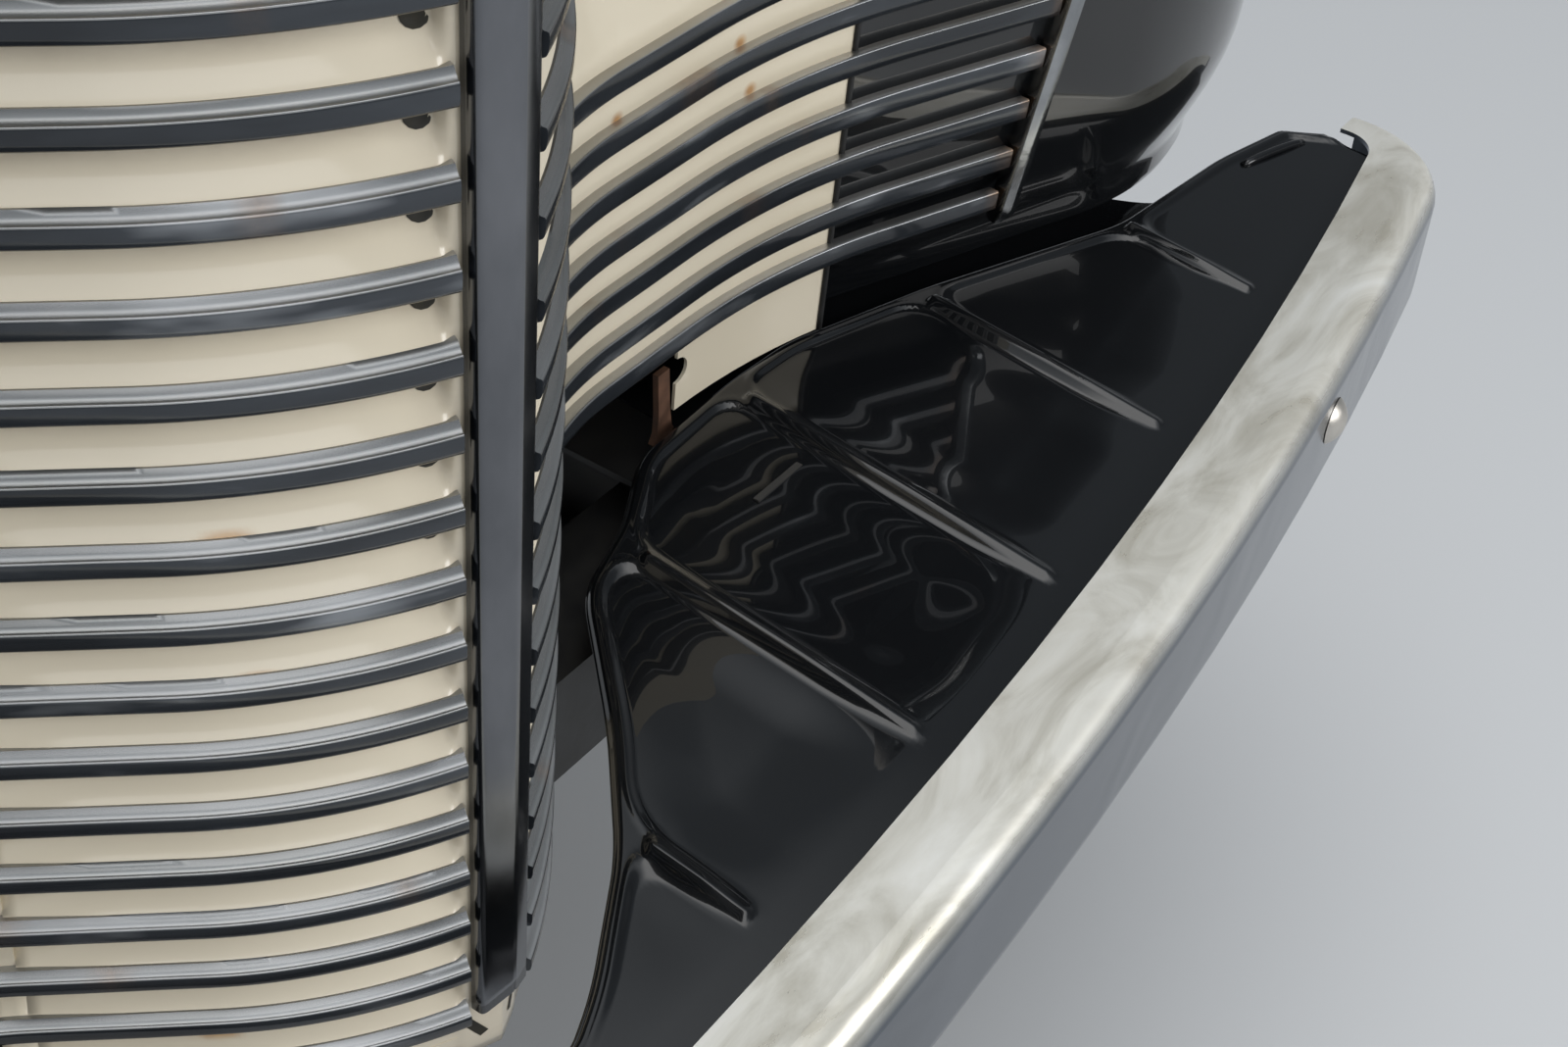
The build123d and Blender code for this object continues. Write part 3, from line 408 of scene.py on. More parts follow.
def cream_paint():
    """Old cream paint, browned by the mesh's darkening attribute, dirt plus painted shade high in
    each cove, with rust where mesh or list has it.
    """
    m = surface("cream_paint", (0.74, 0.66, 0.51), roughness=0.3,
                Coat_Weight=0.6, Coat_Roughness=0.08)
    t = m.node_tree
    p = t.nodes["Principled BSDF"]
    base = noise_node(t, 3.0, 4.0, warp=0.3)
    tone = ramp(t, base, "Fac", [(0.3, (0.70, 0.62, 0.47)), (0.7, (0.78, 0.70, 0.55))])
    dirt = noise_node(t, 22.0, 5.0, (1, 1, 2.2), 0.62)
    spots = span(t, dirt, "Fac", 0.42, 0.72, 0.0, 1.0)
    uneven = math_node(t, "MULTIPLY_ADD", (spots, "Result"), 0.5, 0.5)
    # Browning from the mesh's darkening attribute: dirt plus painted shade under each bar, broken
    # up by the dirt noise
    amount = math_node(t, "MULTIPLY", (attr(t, "grime_and_shade"), "Fac"), (uneven, "Value"))
    brown = mix(t, amount, "Value", (tone, "Color"), (0.30, 0.235, 0.16))
    grain = noise_node(t, 90.0, 4.0, (1, 1, 1.6), 0.6)
    rusty = ramp(t, grain, "Fac", [(0.35, (0.42, 0.19, 0.05)), (0.65, (0.60, 0.33, 0.10))])
    rust = (attr(t, "rust"), "Fac")
    for place in WING_RUST:
        rust = (math_node(t, "MAXIMUM", rust, (near_place(t, place), "Result")), "Value")
    full = mix(t, *rust, (brown, "Result"), (rusty, "Color"))
    link(t, full, "Result", p, "Base Color")
    link(t, span(t, dirt, "Fac", 0.3, 0.8, 0.31, 0.35), "Result", p, "Roughness")
    bump(t, noise_node(t, 300.0, 1.0), 0.00005, 0.15)
    return m


def black_paint():
    """Deep black gloss with specks of dust."""
    base = (0.0045, 0.005, 0.0058)
    m = surface("black_paint", base, roughness=0.16, Coat_Weight=1.0, Coat_Roughness=0.015,
                Coat_IOR=1.42, Specular_IOR_Level=0.12)
    t = m.node_tree
    p = t.nodes["Principled BSDF"]
    dust = noise_node(t, 700.0, 2.0, rough=0.7)
    speck = span(t, dust, "Fac", 0.74, 0.80, 0.0, 1.0)
    cloud = noise_node(t, 9.0, 3.0)
    haze = span(t, cloud, "Fac", 0.3, 0.8, 0.0, 1.0)
    amount = math_node(t, "MULTIPLY", (speck, "Result"), (haze, "Result"))
    c = mix(t, amount, "Value", base, (0.10, 0.095, 0.085))
    link(t, c, "Result", p, "Base Color")
    link(t, span(t, cloud, "Fac", 0.2, 0.8, 0.10, 0.24), "Result", p, "Roughness")
    bump(t, noise_node(t, 14.0, 2.0), 0.0004, 0.15)
    return m


def bar_chrome():
    """Old plating, pitted, a little brown with rust mostly on its upward faces; painted
    reflection: pale grey on the upward faces, near black with lighter streaks in front.
    """
    m = surface("bar_chrome", (0.50, 0.52, 0.55), metallic=1.0, roughness=0.12,
                Specular_Tint=(1.0, 0.92, 0.82, 1))
    t = m.node_tree
    p = t.nodes["Principled BSDF"]
    up = up_facing(t, 0.35, 0.9)
    marks = noise_node(t, 11.0, 3.0, (1, 1, 4), 0.5)
    # Painted reflection: front faces near black with lighter streaks, as if mirroring dark
    # ground, upward faces pale grey, as if mirroring the sky
    front = ramp(t, marks, "Fac", [(0.35, (0.034, 0.039, 0.046)), (0.60, (0.055, 0.063, 0.074)),
                                   (0.74, (0.24, 0.255, 0.275))])
    top = ramp(t, marks, "Fac", [(0.3, (0.33, 0.335, 0.33)), (0.7, (0.44, 0.445, 0.45))])
    c = mix(t, up, "Result", (front, "Color"), (top, "Color"))
    rust = attr(t, "rust")
    grain = noise_node(t, 160.0, 4.0, rough=0.65)
    rusty = ramp(t, grain, "Fac", [(0.35, (0.14, 0.075, 0.03)), (0.65, (0.34, 0.19, 0.09))])
    full = mix(t, rust, "Fac", (c, "Result"), (rusty, "Color"))
    link(t, full, "Result", p, "Base Color")
    # Lower metallic on the front faces deepens their painted dark reflection
    plating = span(t, up, "Result", 0.0, 1.0, 0.55, 0.9)
    bare = span(t, rust, "Fac", 0.2, 0.9, 1.0, 0.1)
    metal = math_node(t, "MULTIPLY", (bare, "Result"), (plating, "Result"))
    link(t, metal, "Value", p, "Metallic")
    worn = math_node(t, "MULTIPLY", (up, "Result"), 0.2)
    polish = span(t, marks, "Fac", 0.3, 0.8, 0.08, 0.2)
    rough = math_node(t, "ADD", (worn, "Value"), (polish, "Result"))
    link(t, rough, "Value", p, "Roughness")
    bump(t, noise_node(t, 30.0, 2.0, (1, 1, 3)), 0.0002, 0.12)
    return m


def strip_chrome():
    """Darker plating of the centre strip."""
    m = surface("strip_chrome", (0.34, 0.35, 0.37), metallic=1.0, roughness=0.16)
    t = m.node_tree
    p = t.nodes["Principled BSDF"]
    marks = noise_node(t, 18.0, 5.0, (1, 1, 0.4), 0.6)
    c = ramp(t, marks, "Fac", [(0.3, (0.10, 0.105, 0.115)), (0.75, (0.19, 0.195, 0.21))])
    link(t, c, "Color", p, "Base Color")
    link(t, span(t, marks, "Fac", 0.2, 0.8, 0.10, 0.24), "Result", p, "Roughness")
    bump(t, noise_node(t, 40.0, 3.0), 0.0002, 0.2)
    return m


def bumper_chrome():
    """Wavy old plating; its upward faces pale with dust and a painted bright sheen, its front
    faces a painted dark reflection.
    """
    m = surface("bumper_chrome", (0.62, 0.63, 0.62), metallic=1.0, roughness=0.1)
    t = m.node_tree
    p = t.nodes["Principled BSDF"]
    up = up_facing(t, 0.15, 0.75)
    swirl = noise_node(t, 9.0, 6.0, (1, 2.4, 1), 0.6, 1.2)
    # Painted light: upward faces pale, dust plus a painted sheen; front faces near black, a
    # painted dark reflection
    dust_and_sheen = ramp(t, swirl, "Fac", [(0.3, (0.52, 0.49, 0.41)), (0.55, (0.78, 0.76, 0.69)),
                                  (0.75, (0.88, 0.87, 0.82))])
    face = ramp(t, swirl, "Fac", [(0.3, (0.085, 0.10, 0.12)), (0.75, (0.14, 0.155, 0.18))])
    c = mix(t, up, "Result", (face, "Color"), (dust_and_sheen, "Color"))
    link(t, c, "Result", p, "Base Color")
    # Half metallic on the upward faces lets the dust and painted sheen show pale
    link(t, span(t, up, "Result", 0.0, 1.0, 1.0, 0.5), "Result", p, "Metallic")
    haze = math_node(t, "MULTIPLY", (up, "Result"), 0.16)
    polish = span(t, swirl, "Fac", 0.3, 0.8, 0.10, 0.22)
    rough = math_node(t, "ADD", (haze, "Value"), (polish, "Result"))
    link(t, rough, "Value", p, "Roughness")
    bump(t, noise_node(t, 7.0, 2.0, (1, 1.6, 1), warp=0.8), 0.004, 0.35)
    return m


def worn_metal(name, dark, light, roughness, metallic=1.0, scale=40.0):
    """Mottled surface between two colours."""
    m = surface(name, dark, metallic=metallic, roughness=roughness)
    t = m.node_tree
    p = t.nodes["Principled BSDF"]
    n = noise_node(t, scale, 5.0, rough=0.6)
    link(t, ramp(t, n, "Fac", [(0.3, dark), (0.75, light)]), "Color", p, "Base Color")
    rough = span(t, n, "Fac", 0.2, 0.8, roughness * 0.75, roughness * 1.3)
    link(t, rough, "Result", p, "Roughness")
    bump(t, noise_node(t, scale * 6, 3.0), 0.0003, 0.25)
    return m


CREAM = cream_paint()
BLACK = black_paint()
BARS = bar_chrome()
STRIP = strip_chrome()
BUMPER = bumper_chrome()
SATIN = worn_metal("satin_black", (0.014, 0.014, 0.015), (0.035, 0.033, 0.03), 0.5, 0.0, 30.0)
BRIGHT = worn_metal("end_chrome", (0.20, 0.21, 0.22), (0.34, 0.35, 0.36), 0.16)
STEEL = worn_metal("steel", (0.42, 0.40, 0.37), (0.60, 0.57, 0.52), 0.35)
RUSTY = worn_metal("rusty_steel", (0.055, 0.026, 0.014), (0.17, 0.085, 0.05), 0.7, 0.2, 60.0)
RUBBER = worn_metal("black_rubber", (0.008, 0.008, 0.008), (0.02, 0.02, 0.02), 0.6, 0.0, 80.0)
# Near black: painted shade for the inside of the drain holes and the slot
HOLE_SHADE = worn_metal("hole_shadow", (0.004, 0.004, 0.003), (0.035, 0.030, 0.018), 0.7, 0.0, 90.0)
CORE = worn_metal("radiator_black", (0.01, 0.01, 0.01), (0.03, 0.029, 0.027), 0.6, 0.0, 60.0)
GLASS = surface("glass", (0.9, 0.93, 0.93), roughness=0.03, Transmission_Weight=1.0)
SILVER = surface("reflector_silver", (0.86, 0.86, 0.85), metallic=1.0, roughness=0.06)
BULB = surface("bulb_glass", (0.95, 0.93, 0.88), roughness=0.05, Transmission_Weight=0.9)

LOOK = {"chassis_black": SATIN, "bumper_chrome": BUMPER, "bolt_chrome": STEEL,
        "trim_chrome": BARS, "body_black": BLACK, "body_cream": CREAM, "lamp_glass": GLASS,
        "radiator_core": CORE, "radiator_tank": SATIN, "radiator_cap": STEEL,
        "hinge_pin": STEEL}
for row in frame["record"]["subparts"]:
    o = frame["nodes"][row["node"]]
    o.data.materials.clear()
    o.data.materials.append(LOOK[row["material_slot"]])


# Mesh helpers

def new_piece(name, verts, faces, mat, body="front_end", flat=False):
    """Piece of the visual model on a body, smooth unless flat."""
    me = bpy.data.meshes.new(name)
    me.from_pydata([tuple(v) for v in verts], [], faces)
    me.validate()
    bm = bmesh.new()
    bm.from_mesh(me)
    bmesh.ops.recalc_face_normals(bm, faces=bm.faces)
    bm.to_mesh(me)
    bm.free()
    if not flat:
        me.polygons.foreach_set("use_smooth", [True] * len(me.polygons))
    me.materials.append(mat)
    o = bpy.data.objects.new(name, me)
    bpy.context.scene.collection.objects.link(o)
    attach(o, body)
    return o


def set_attr(o, name, values):
    a = o.data.attributes.new(name, "FLOAT", "POINT")
    a.data.foreach_set("value", values)


def sharpen(o, degrees):
    o.data.set_sharp_from_angle(angle=math.radians(degrees))


def thicken(o, thickness):
    """Gives a surface its sheet thickness, inward."""
    back = o.modifiers.new("sheet", "SOLIDIFY")
    back.thickness = thickness
    back.offset = -1.0


def grid_faces(rows, cols, wrap=False, start=0):
    """Quads between rows of points; wrap joins each row's ends."""
    out = []
    last = cols if wrap else cols - 1
    for i in range(rows - 1):
        for j in range(last):
            k = (j + 1) % cols
            out.append((start + i * cols + j, start + i * cols + k,
                        start + (i + 1) * cols + k, start + (i + 1) * cols + j))
    return out


def joined(rings):
    return [p for ring in rings for p in ring]


def sweep(rings):
    """Closed solid through rings of points, with both ends capped."""
    n = len(rings[0])
    verts = joined(rings)
    faces = grid_faces(len(rings), n, wrap=True)
    faces.append(tuple(range(n)))
    faces.append(tuple(range(len(verts) - n, len(verts))))
    return verts, faces


def on_side(points, side):
    """Points of the left side, mirrored when side is -1."""
    return [Vector((side * p.x, p.y, p.z)) for p in points]


def circle(side, x, y, z, radius, count):
    """Upright ring of points round a fore-and-aft axis."""
    turns = [2 * math.pi * i / count for i in range(count)]
    return [at(side * (x + radius * math.cos(a)), y, z + radius * math.sin(a)) for a in turns]


def tube(name, path, radius, mat, side, sides=8):
    """Round bead along shop points."""
    rings = []
    for i, c in enumerate(path):
        a = path[max(0, i - 1)]
        b = path[min(len(path) - 1, i + 1)]
        d = (b - a).normalized()
        u = d.orthogonal().normalized() if i == 0 else (u - d * u.dot(d)).normalized()
        w = d.cross(u)
        ring = []
        for k in range(sides):
            t = 2 * math.pi * k / sides
            ring.append(metres(c + u * (radius * math.cos(t)) + w * (radius * math.sin(t))))
        rings.append(on_side(ring, side))
    verts, faces = sweep(rings)
    return new_piece(name, verts, faces, mat)


# Plan of the wall, as places with their outward normal, leg and length from the middle

Place = namedtuple("Place", "x y nx ny leg s")


def wall_plan(step=4.0):
    """Places along the legs, about a step apart on arcs and three steps on lines."""
    x, y, h, s = 0.0, TIP_Y, math.radians(TIP_HEADING), 0.0
    out = []
    for leg, (kind, size, degrees) in enumerate(LEGS):
        turn = math.radians(degrees)
        length = size * abs(turn) if turn else size
        n = max(2, round(length / step)) if turn else max(1, round(length / (step * 3)))
        sign = 1.0 if turn > 0 else -1.0
        for i in range(n):
            t = i / n
            hh = h + turn * t
            if kind == "arc":
                px = x + sign * size * (math.sin(hh) - math.sin(h))
                py = y + sign * size * (math.cos(h) - math.cos(hh))
            else:
                px = x + length * t * math.cos(h)
                py = y + length * t * math.sin(h)
            out.append(Place(px, py, math.sin(hh), -math.cos(hh), leg, s + length * t))
        if kind == "arc":
            h2 = h + turn
            x += sign * size * (math.sin(h2) - math.sin(h))
            y += sign * size * (math.cos(h) - math.cos(h2))
            h = h2
        else:
            x += length * math.cos(h)
            y += length * math.sin(h)
        s += length
    out.append(Place(x, y, math.sin(h), -math.cos(h), len(LEGS) - 1, s))
    return out


PLAN = wall_plan()
LEG_AT = [min(p.s for p in PLAN if p.leg == leg) for leg in range(len(LEGS))]


def between(a, b, t):
    return Place(*[u + (v - u) * t for u, v in zip(a, b)])


def plan_at_x(x, off=0.0):
    """Place where the offset face crosses x, on the front of the body."""
    for a, b in zip(PLAN, PLAN[1:]):
        xa = a.x + off * a.nx
        xb = b.x + off * b.nx
        if xa <= x < xb:
            return between(a, b, (x - xa) / (xb - xa))
    return PLAN[-1]


def plan_at_length(s):
    """Place at a length along the wall."""
    for a, b in zip(PLAN, PLAN[1:]):
        if a.s <= s < b.s:
            return between(a, b, (s - a.s) / (b.s - a.s))
    return PLAN[-1]


def wall(p, off, z):
    """Point at an offset from the wall's outer face, at height z, in shop mm."""
    return Vector((p.x + off * p.nx, p.y + off * p.ny - WALL_LEAN * (z - WALL_REF_Z), z))


def bar_z(n):
    return BAR_BASE_Z + n * BAR_PITCH


def end_x(z):
    """Middle of the tilted end strip at height z."""
    return END_STRIP_X + END_STRIP_TILT * (z - WALL_REF_Z)


# Bars, each a bent moulding with a flat top, a rounded crest and a slightly full face

def bar_section(low, foot, rise, shoulder):
    """Offsets and heights round a bar from its foot; rise tilts its top up to the wall."""
    r = BAR_NOSE_R
    h = BAR_TOP - low
    pts = [(foot, low), (BAR_DEPTH - 2.2, low), (BAR_DEPTH - 1.0, low + 0.5),
           (BAR_DEPTH - 0.45, low + 1.4), (BAR_DEPTH - 0.1, low + h * 0.35),
           (BAR_DEPTH, low + h * 0.6)]
    for i in range(5):
        a = math.radians(i * 22.5)
        pts.append((BAR_DEPTH - r + r * math.cos(a), BAR_TOP - r + r * math.sin(a)))
    pts += [(BAR_DEPTH - r - 0.5, BAR_TOP + 0.1),
            ((BAR_DEPTH + shoulder) / 2 - 0.8, BAR_TOP + rise * 0.5 - 0.1),
            (shoulder + 0.2, BAR_TOP + rise), (foot, BAR_TOP + rise - 0.3)]
    return pts


def bar_mesh(n):
    """Rings of one bar on the left side, and the rust at each point."""
    rings = []
    rust = []
    long = 0 <= n < LONG_BARS
    middle = BAR_DEPTH / 2
    first = plan_at_x(BAR_START_X, middle)
    if long:
        last = plan_at_x(end_x(bar_z(n) + BAR_MID) - END_HALF - END_GAP, middle)
    else:
        last = plan_at_length(LEG_AT[2] + (NOSE_TAIL if n < 0 else 0.0))
    path = [first] + [p for p in PLAN if first.s + 0.5 < p.s < last.s - 0.5] + [last]
    for p in path:
        turn = smooth(LEG_AT[2], LEG_AT[3], p.s)
        low = NOSE_BAR_UP * (1 - turn) + WING_BAR_LOW * turn
        rise = NOSE_BAR_RISE * (1 - turn) + WING_BAR_RISE * turn
        lift = LOW_BAR_LIFT * turn if n == 0 else 0.0
        foot = -SCALLOP + (SCALLOP + WING_FOOT) * turn
        wave = BAR_WAVE * noise.noise(Vector((p.s * 0.02, n * 3.1, 0.7)))
        section = bar_section(low, foot, rise, SHOULDER * (1 - turn))
        rings.append([wall(p, off + (wave if off > middle else 0.0), bar_z(n) + lift + dz)
                      for off, dz in section])
        near_end = 1.0 - smooth(0.0, END_RUST, last.s - p.s) if long else 0.0
        spot = noise.noise(Vector((p.s * 0.035, n * 1.7 + 11.0, 2.0)))
        patch = smooth(0.42, 0.60, spot) * 0.8
        for off, dz in section:
            top = 1.0 if dz > BAR_TOP - 1.0 else 0.35
            back = 1.0 if off < 3.0 else 0.45
            rust.append(min(1.0, near_end * 0.75 * top + patch * top * back))
    return rings, rust


def bars():
    """Every bar of both sides, one piece each."""
    for side, tag in SIDES:
        for n in range(-BARS_BELOW, LONG_BARS + BARS_ABOVE):
            rings, rust = bar_mesh(n)
            rings = [on_side([metres(v) for v in ring], side) for ring in rings]
            verts, faces = sweep(rings)
            name = "bar_%s_%02d" % (tag, n + BARS_BELOW)
            o = new_piece(name, verts, faces, BARS)
            set_attr(o, "rust", rust)
            sharpen(o, 50)
            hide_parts("grille_bars_" + tag)


# Nose skin, coved between the bars

def above_bar(z):
    """Height above the underside of the bar below z."""
    return (z - BAR_BASE_Z - NOSE_BAR_UP) % BAR_PITCH


def scallop_off(z):
    """Offset of the skin at height z: deep under each bar, full on the next one's shoulder."""
    below = above_bar(z)
    top = BAR_TOP + NOSE_BAR_RISE - NOSE_BAR_UP - 0.8
    if below <= top:
        return -SCALLOP
    t = (BAR_PITCH - below) / (BAR_PITCH - top)
    rise = max(0.0, (t - COVE_FLAT) / (1 - COVE_FLAT))
    return -SCALLOP + (SCALLOP + SHOULDER) * rise ** COVE_POWER


def nose_levels():
    """Heights of the nose skin's rows, fine where the cove turns."""
    out = [NOSE_BOTTOM_Z]
    n = -3
    while bar_z(n) < NOSE_TOP_Z:
        for share in COVE_ROWS:
            z = bar_z(n) + NOSE_BAR_UP + share * BAR_PITCH
            if NOSE_BOTTOM_Z + 1 < z < NOSE_TOP_Z - 1:
                out.append(z)
        n += 1
    return out + [NOSE_TOP_Z]


def skin_off(p, z, edge):
    """Offset of the skin at a place; edge is 0 under the centre strip and 1 beside it."""
    deep = scallop_off(z) * (1 - smooth(0.80, 1.0, p.s / LEG_AT[2]) * 0.5)
    if z < bar_z(-BARS_BELOW) - 2:
        deep = PLAIN_OFF
    return deep * edge + STRIP_BED * (1 - edge)


def rust_at(x, z):
    """Rust of the nose's cream round the listed spots."""
    spot = 0.0
    for sx, sz, r in RUST_SPOTS:
        d = math.hypot((x - sx) / RUST_STRETCH, z - sz)
        spot = max(spot, 1.0 - smooth(r * 0.2, r * 0.55, d))
    return spot * 0.8


def grime_and_shade_at(x, z, edge):
    """Darkening of the cream: dirt plus painted shade high in each cove, under the bar above, and
    a darkening beside the centre strip.
    """
    below = above_bar(z)
    line = smooth(*GRIME_AND_SHADE_RISE, below) if below > GRIME_AND_SHADE_UNDER else 1.0
    ends = 1.0 - smooth(*STRIP_SIDE_DARKENING, x)
    return min(1.0, 0.85 * line * edge + 0.35 * ends)


def skin_patch(name, side, tag, cols, rows):
    """Skin over places along the wall and heights, with its rust and its darkening (dirt plus
    painted shade) as attributes.
    """
    verts = []
    rust = []
    grime_and_shade = []
    for z in rows:
        for p in cols:
            edge = smooth(*STRIP_EDGE, p.x)
            v = wall(p, skin_off(p, z, edge), z)
            v.x = max(v.x, 0.05) * side
            verts.append(metres(v))
            rust.append(rust_at(p.x, z))
            grime_and_shade.append(grime_and_shade_at(p.x, z, edge))
    o = new_piece(name, verts, grid_faces(len(rows), len(cols)), CREAM)
    set_attr(o, "rust", rust)
    set_attr(o, "grime_and_shade", grime_and_shade)
    sharpen(o, 60)
    thicken(o, NOSE_SHEET)
    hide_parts("nose_panel_" + tag)


def nose_side(tag):
    """The nose panel's own sides and top, without its flat front."""
    source = frame["nodes"]["nose_panel_" + tag]
    me = source.data.copy()
    bm = bmesh.new()
    bm.from_mesh(me)
    doomed = [f for f in bm.faces if abs(f.normal.y) > 0.5 and abs(f.normal.z) < 0.6]
    bmesh.ops.delete(bm, geom=doomed, context="FACES")
    bm.to_mesh(me)
    bm.free()
    me.name = "nose_side_" + tag
    me.materials.clear()
    me.materials.append(CREAM)
    s = bpy.data.objects.new("nose_side_" + tag, me)
    bpy.context.scene.collection.objects.link(s)
    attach(s, "front_end")
    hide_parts("nose_panel_" + tag)


def nose_skin():
    """Coved skin, its lower tails behind the wing's end, and the panels' sides."""
    path = [p for p in PLAN if p.s <= LEG_AT[2]]
    cols = []
    for a, b in zip(path, path[1:]):
        parts = 4 if a.x < 40 else 2
        cols += [between(a, b, i / parts) for i in range(parts)]
    cols.append(path[-1])
    levels = nose_levels()
    last = TAIL_COLUMNS - 1
    tail = [plan_at_length(LEG_AT[2] + NOSE_TAIL * i / last) for i in range(TAIL_COLUMNS)]
    low_levels = [z for z in levels if z < TAIL_TOP_Z] + [TAIL_TOP_Z]
    for side, tag in SIDES:
        skin_patch("nose_skin_" + tag, side, tag, cols, levels)
        skin_patch("nose_tail_" + tag, side, tag, tail, low_levels)
    for _, tag in SIDES:
        nose_side(tag)


def holes():
    """Near-black discs of painted shade for the drain holes in the cream under each bar's inner
    end, and a near-black sheet of painted shade for the slot below the strip.
    """
    p = plan_at_x(HOLE_X)
    along = Vector((-p.ny, p.nx, 0.0))
    for side, tag in SIDES:
        verts = []
        faces = []
        for n in range(-BARS_BELOW, LONG_BARS + BARS_ABOVE):
            z = bar_z(n) + NOSE_BAR_UP - HOLE_DROP
            if z < NOSE_BOTTOM_Z + 6:
                continue
            start = len(verts)
            for r, proud in HOLE_RIMS:
                for i in range(HOLE_SPOKES):
                    a = 2 * math.pi * i / HOLE_SPOKES
                    zz = z + r * math.sin(a)
                    v = wall(p, scallop_off(zz) + proud, zz) + along * (r * math.cos(a))
                    v.x *= side
                    verts.append(metres(v))
            faces += grid_faces(len(HOLE_RIMS), HOLE_SPOKES, wrap=True, start=start)
            faces.append(tuple(range(len(verts) - HOLE_SPOKES, len(verts))))
        start = len(verts)
        for x, z in SLOT:
            v = wall(plan_at_x(x, SLOT_PROUD), SLOT_PROUD, z)
            v.x *= side
            verts.append(metres(v))
        faces.append(tuple(range(start, start + len(SLOT))))
        new_piece("drain_hole_shade_" + tag, verts, faces, HOLE_SHADE)


# Centre strip, a V moulding with rolled edges and a cut lower end

def strip_piece():
    """Sheet moulding over the nose's seam, leaning with the wall."""
    t = math.radians(TIP_HEADING)
    crease = TIP_Y - STRIP_DEPTH / math.cos(t)
    rings = []
    for i in range(STRIP_STEPS + 1):
        left = []
        for x, drop in STRIP_SECTION:
            y = crease + math.tan(t) * x + drop
            low = STRIP_BOTTOM_Z + STRIP_TIP_LIFT - STRIP_CUT * x / STRIP_HALF
            z = low + (STRIP_TOP_Z - low) * i / STRIP_STEPS
            left.append(Vector((x, y - WALL_LEAN * (z - WALL_REF_Z), z)))
        right = on_side(reversed(left[1:]), -1)
        rings.append([metres(v) for v in right + left])
    faces = grid_faces(len(rings), len(rings[0]))
    o = new_piece("centre_moulding", joined(rings), faces, STRIP)
    thicken(o, STRIP_SHEET)
    sharpen(o, 35)
    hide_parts("centre_strip")


def end_strips():
    """Tilted end moulding over the bar ends, with a rounded face."""
    z0 = bar_z(0) - END_STRIP_OVER
    z1 = bar_z(LONG_BARS - 1) + BAR_TOP + END_STRIP_OVER
    for side, tag in SIDES:
        rings = []
        for i in range(END_STEPS + 1):
            t = i / END_STEPS
            z = z0 + (z1 - z0) * t
            cap = 0.6 + 0.4 * smooth(0.0, 0.03, t) * smooth(0.0, 0.03, 1 - t)
            ring = [wall(plan_at_x(end_x(z) + dx * cap), off * cap, z) for dx, off in END_SECTION]
            rings.append(on_side([metres(v) for v in ring], side))
        verts, faces = sweep(rings)
        o = new_piece("end_moulding_" + tag, verts, faces, BRIGHT)
        sharpen(o, 45)
        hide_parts("end_strip_" + tag)


def welts():
    """Rubber welt between the cream panel and the fender."""
    p = plan_at_x(SEAM_X)
    high = CATWALK_TOP_Z - LIP_Z
    path = [wall(p, 0.4, LIP_Z + high * i / WELT_STEPS) for i in range(WELT_STEPS + 1)]
    for side, tag in SIDES:
        tube("fender_welt_" + tag, path, WELT_R, RUBBER, side)


# Fender, a pontoon whose front, side and top run into each other softly

def soft_max(a, b, k):
    """Larger of two values, rounded where they are within k of each other."""
    h = max(k - abs(a - b), 0.0) / k
    return max(a, b) + h * h * k * 0.25


def side_depth(y, z):
    """Signed distance outside the fender's profile seen from the side."""
    yc = CROWN_FRONT_Y + CROWN_FRONT_R
    if y < yc:
        zc = CROWN_Z - CROWN_FRONT_R
        if z < zc:
            return CROWN_FRONT_Y - y
        return math.hypot(yc - y, z - zc) - CROWN_FRONT_R
    return math.hypot(y - yc, z - CROWN_Z + CROWN_BACK_R) - CROWN_BACK_R


def across_depth(x, z):
    """Signed distance outside the fender's profile seen from the front."""
    xc = SEAM_X + CROWN_IN_R * math.sin(math.radians(CROWN_IN_TURN))
    top = CROWN_Z + CROWN_OVER
    if x < xc:
        return math.hypot(x - xc, z - top + CROWN_IN_R) - CROWN_IN_R
    zc = top - CROWN_OUT_R
    turn = math.atan2(x - xc, z - zc)
    end = math.radians(CROWN_OUT_TURN)
    if turn < end:
        return math.hypot(x - xc, z - zc) - CROWN_OUT_R
    px = xc + CROWN_OUT_R * math.sin(end)
    pz = zc + CROWN_OUT_R * math.cos(end)
    return (x - px) * math.sin(end) + (z - pz) * math.cos(end)


def outside(p, v, near):
    """Signed distance outside the fender; near adds the wall at place p and its tuck."""
    d = soft_max(side_depth(v.y, v.z), across_depth(v.x, v.z), BLEND)
    if near:
        w = wall(p, 0.0, v.z)
        off = (v.x - w.x) * p.nx + (v.y - w.y) * p.ny
        off += TUCK * (1 - smooth(LIP_Z, TUCK_Z, v.z)) ** 1.3
        d = soft_max(d, off, BLEND)
    return d


def march(p, start, way, near=True):
    """Point where a ray from inside the fender leaves it."""
    lo, hi = 0.0, MARCH_REACH
    for _ in range(MARCH_STEPS):
        mid = (lo + hi) / 2
        if outside(p, start + way * mid, near) < 0:
            lo = mid
        else:
            hi = mid
    return start + way * lo


def arch_z(y):
    """Height of the wheel opening's edge, 0 outside it."""
    reach = ARCH_R ** 2 - (y - WHEEL_Y) ** 2
    return WHEEL_Z + math.sqrt(reach) if reach > 0 else 0.0


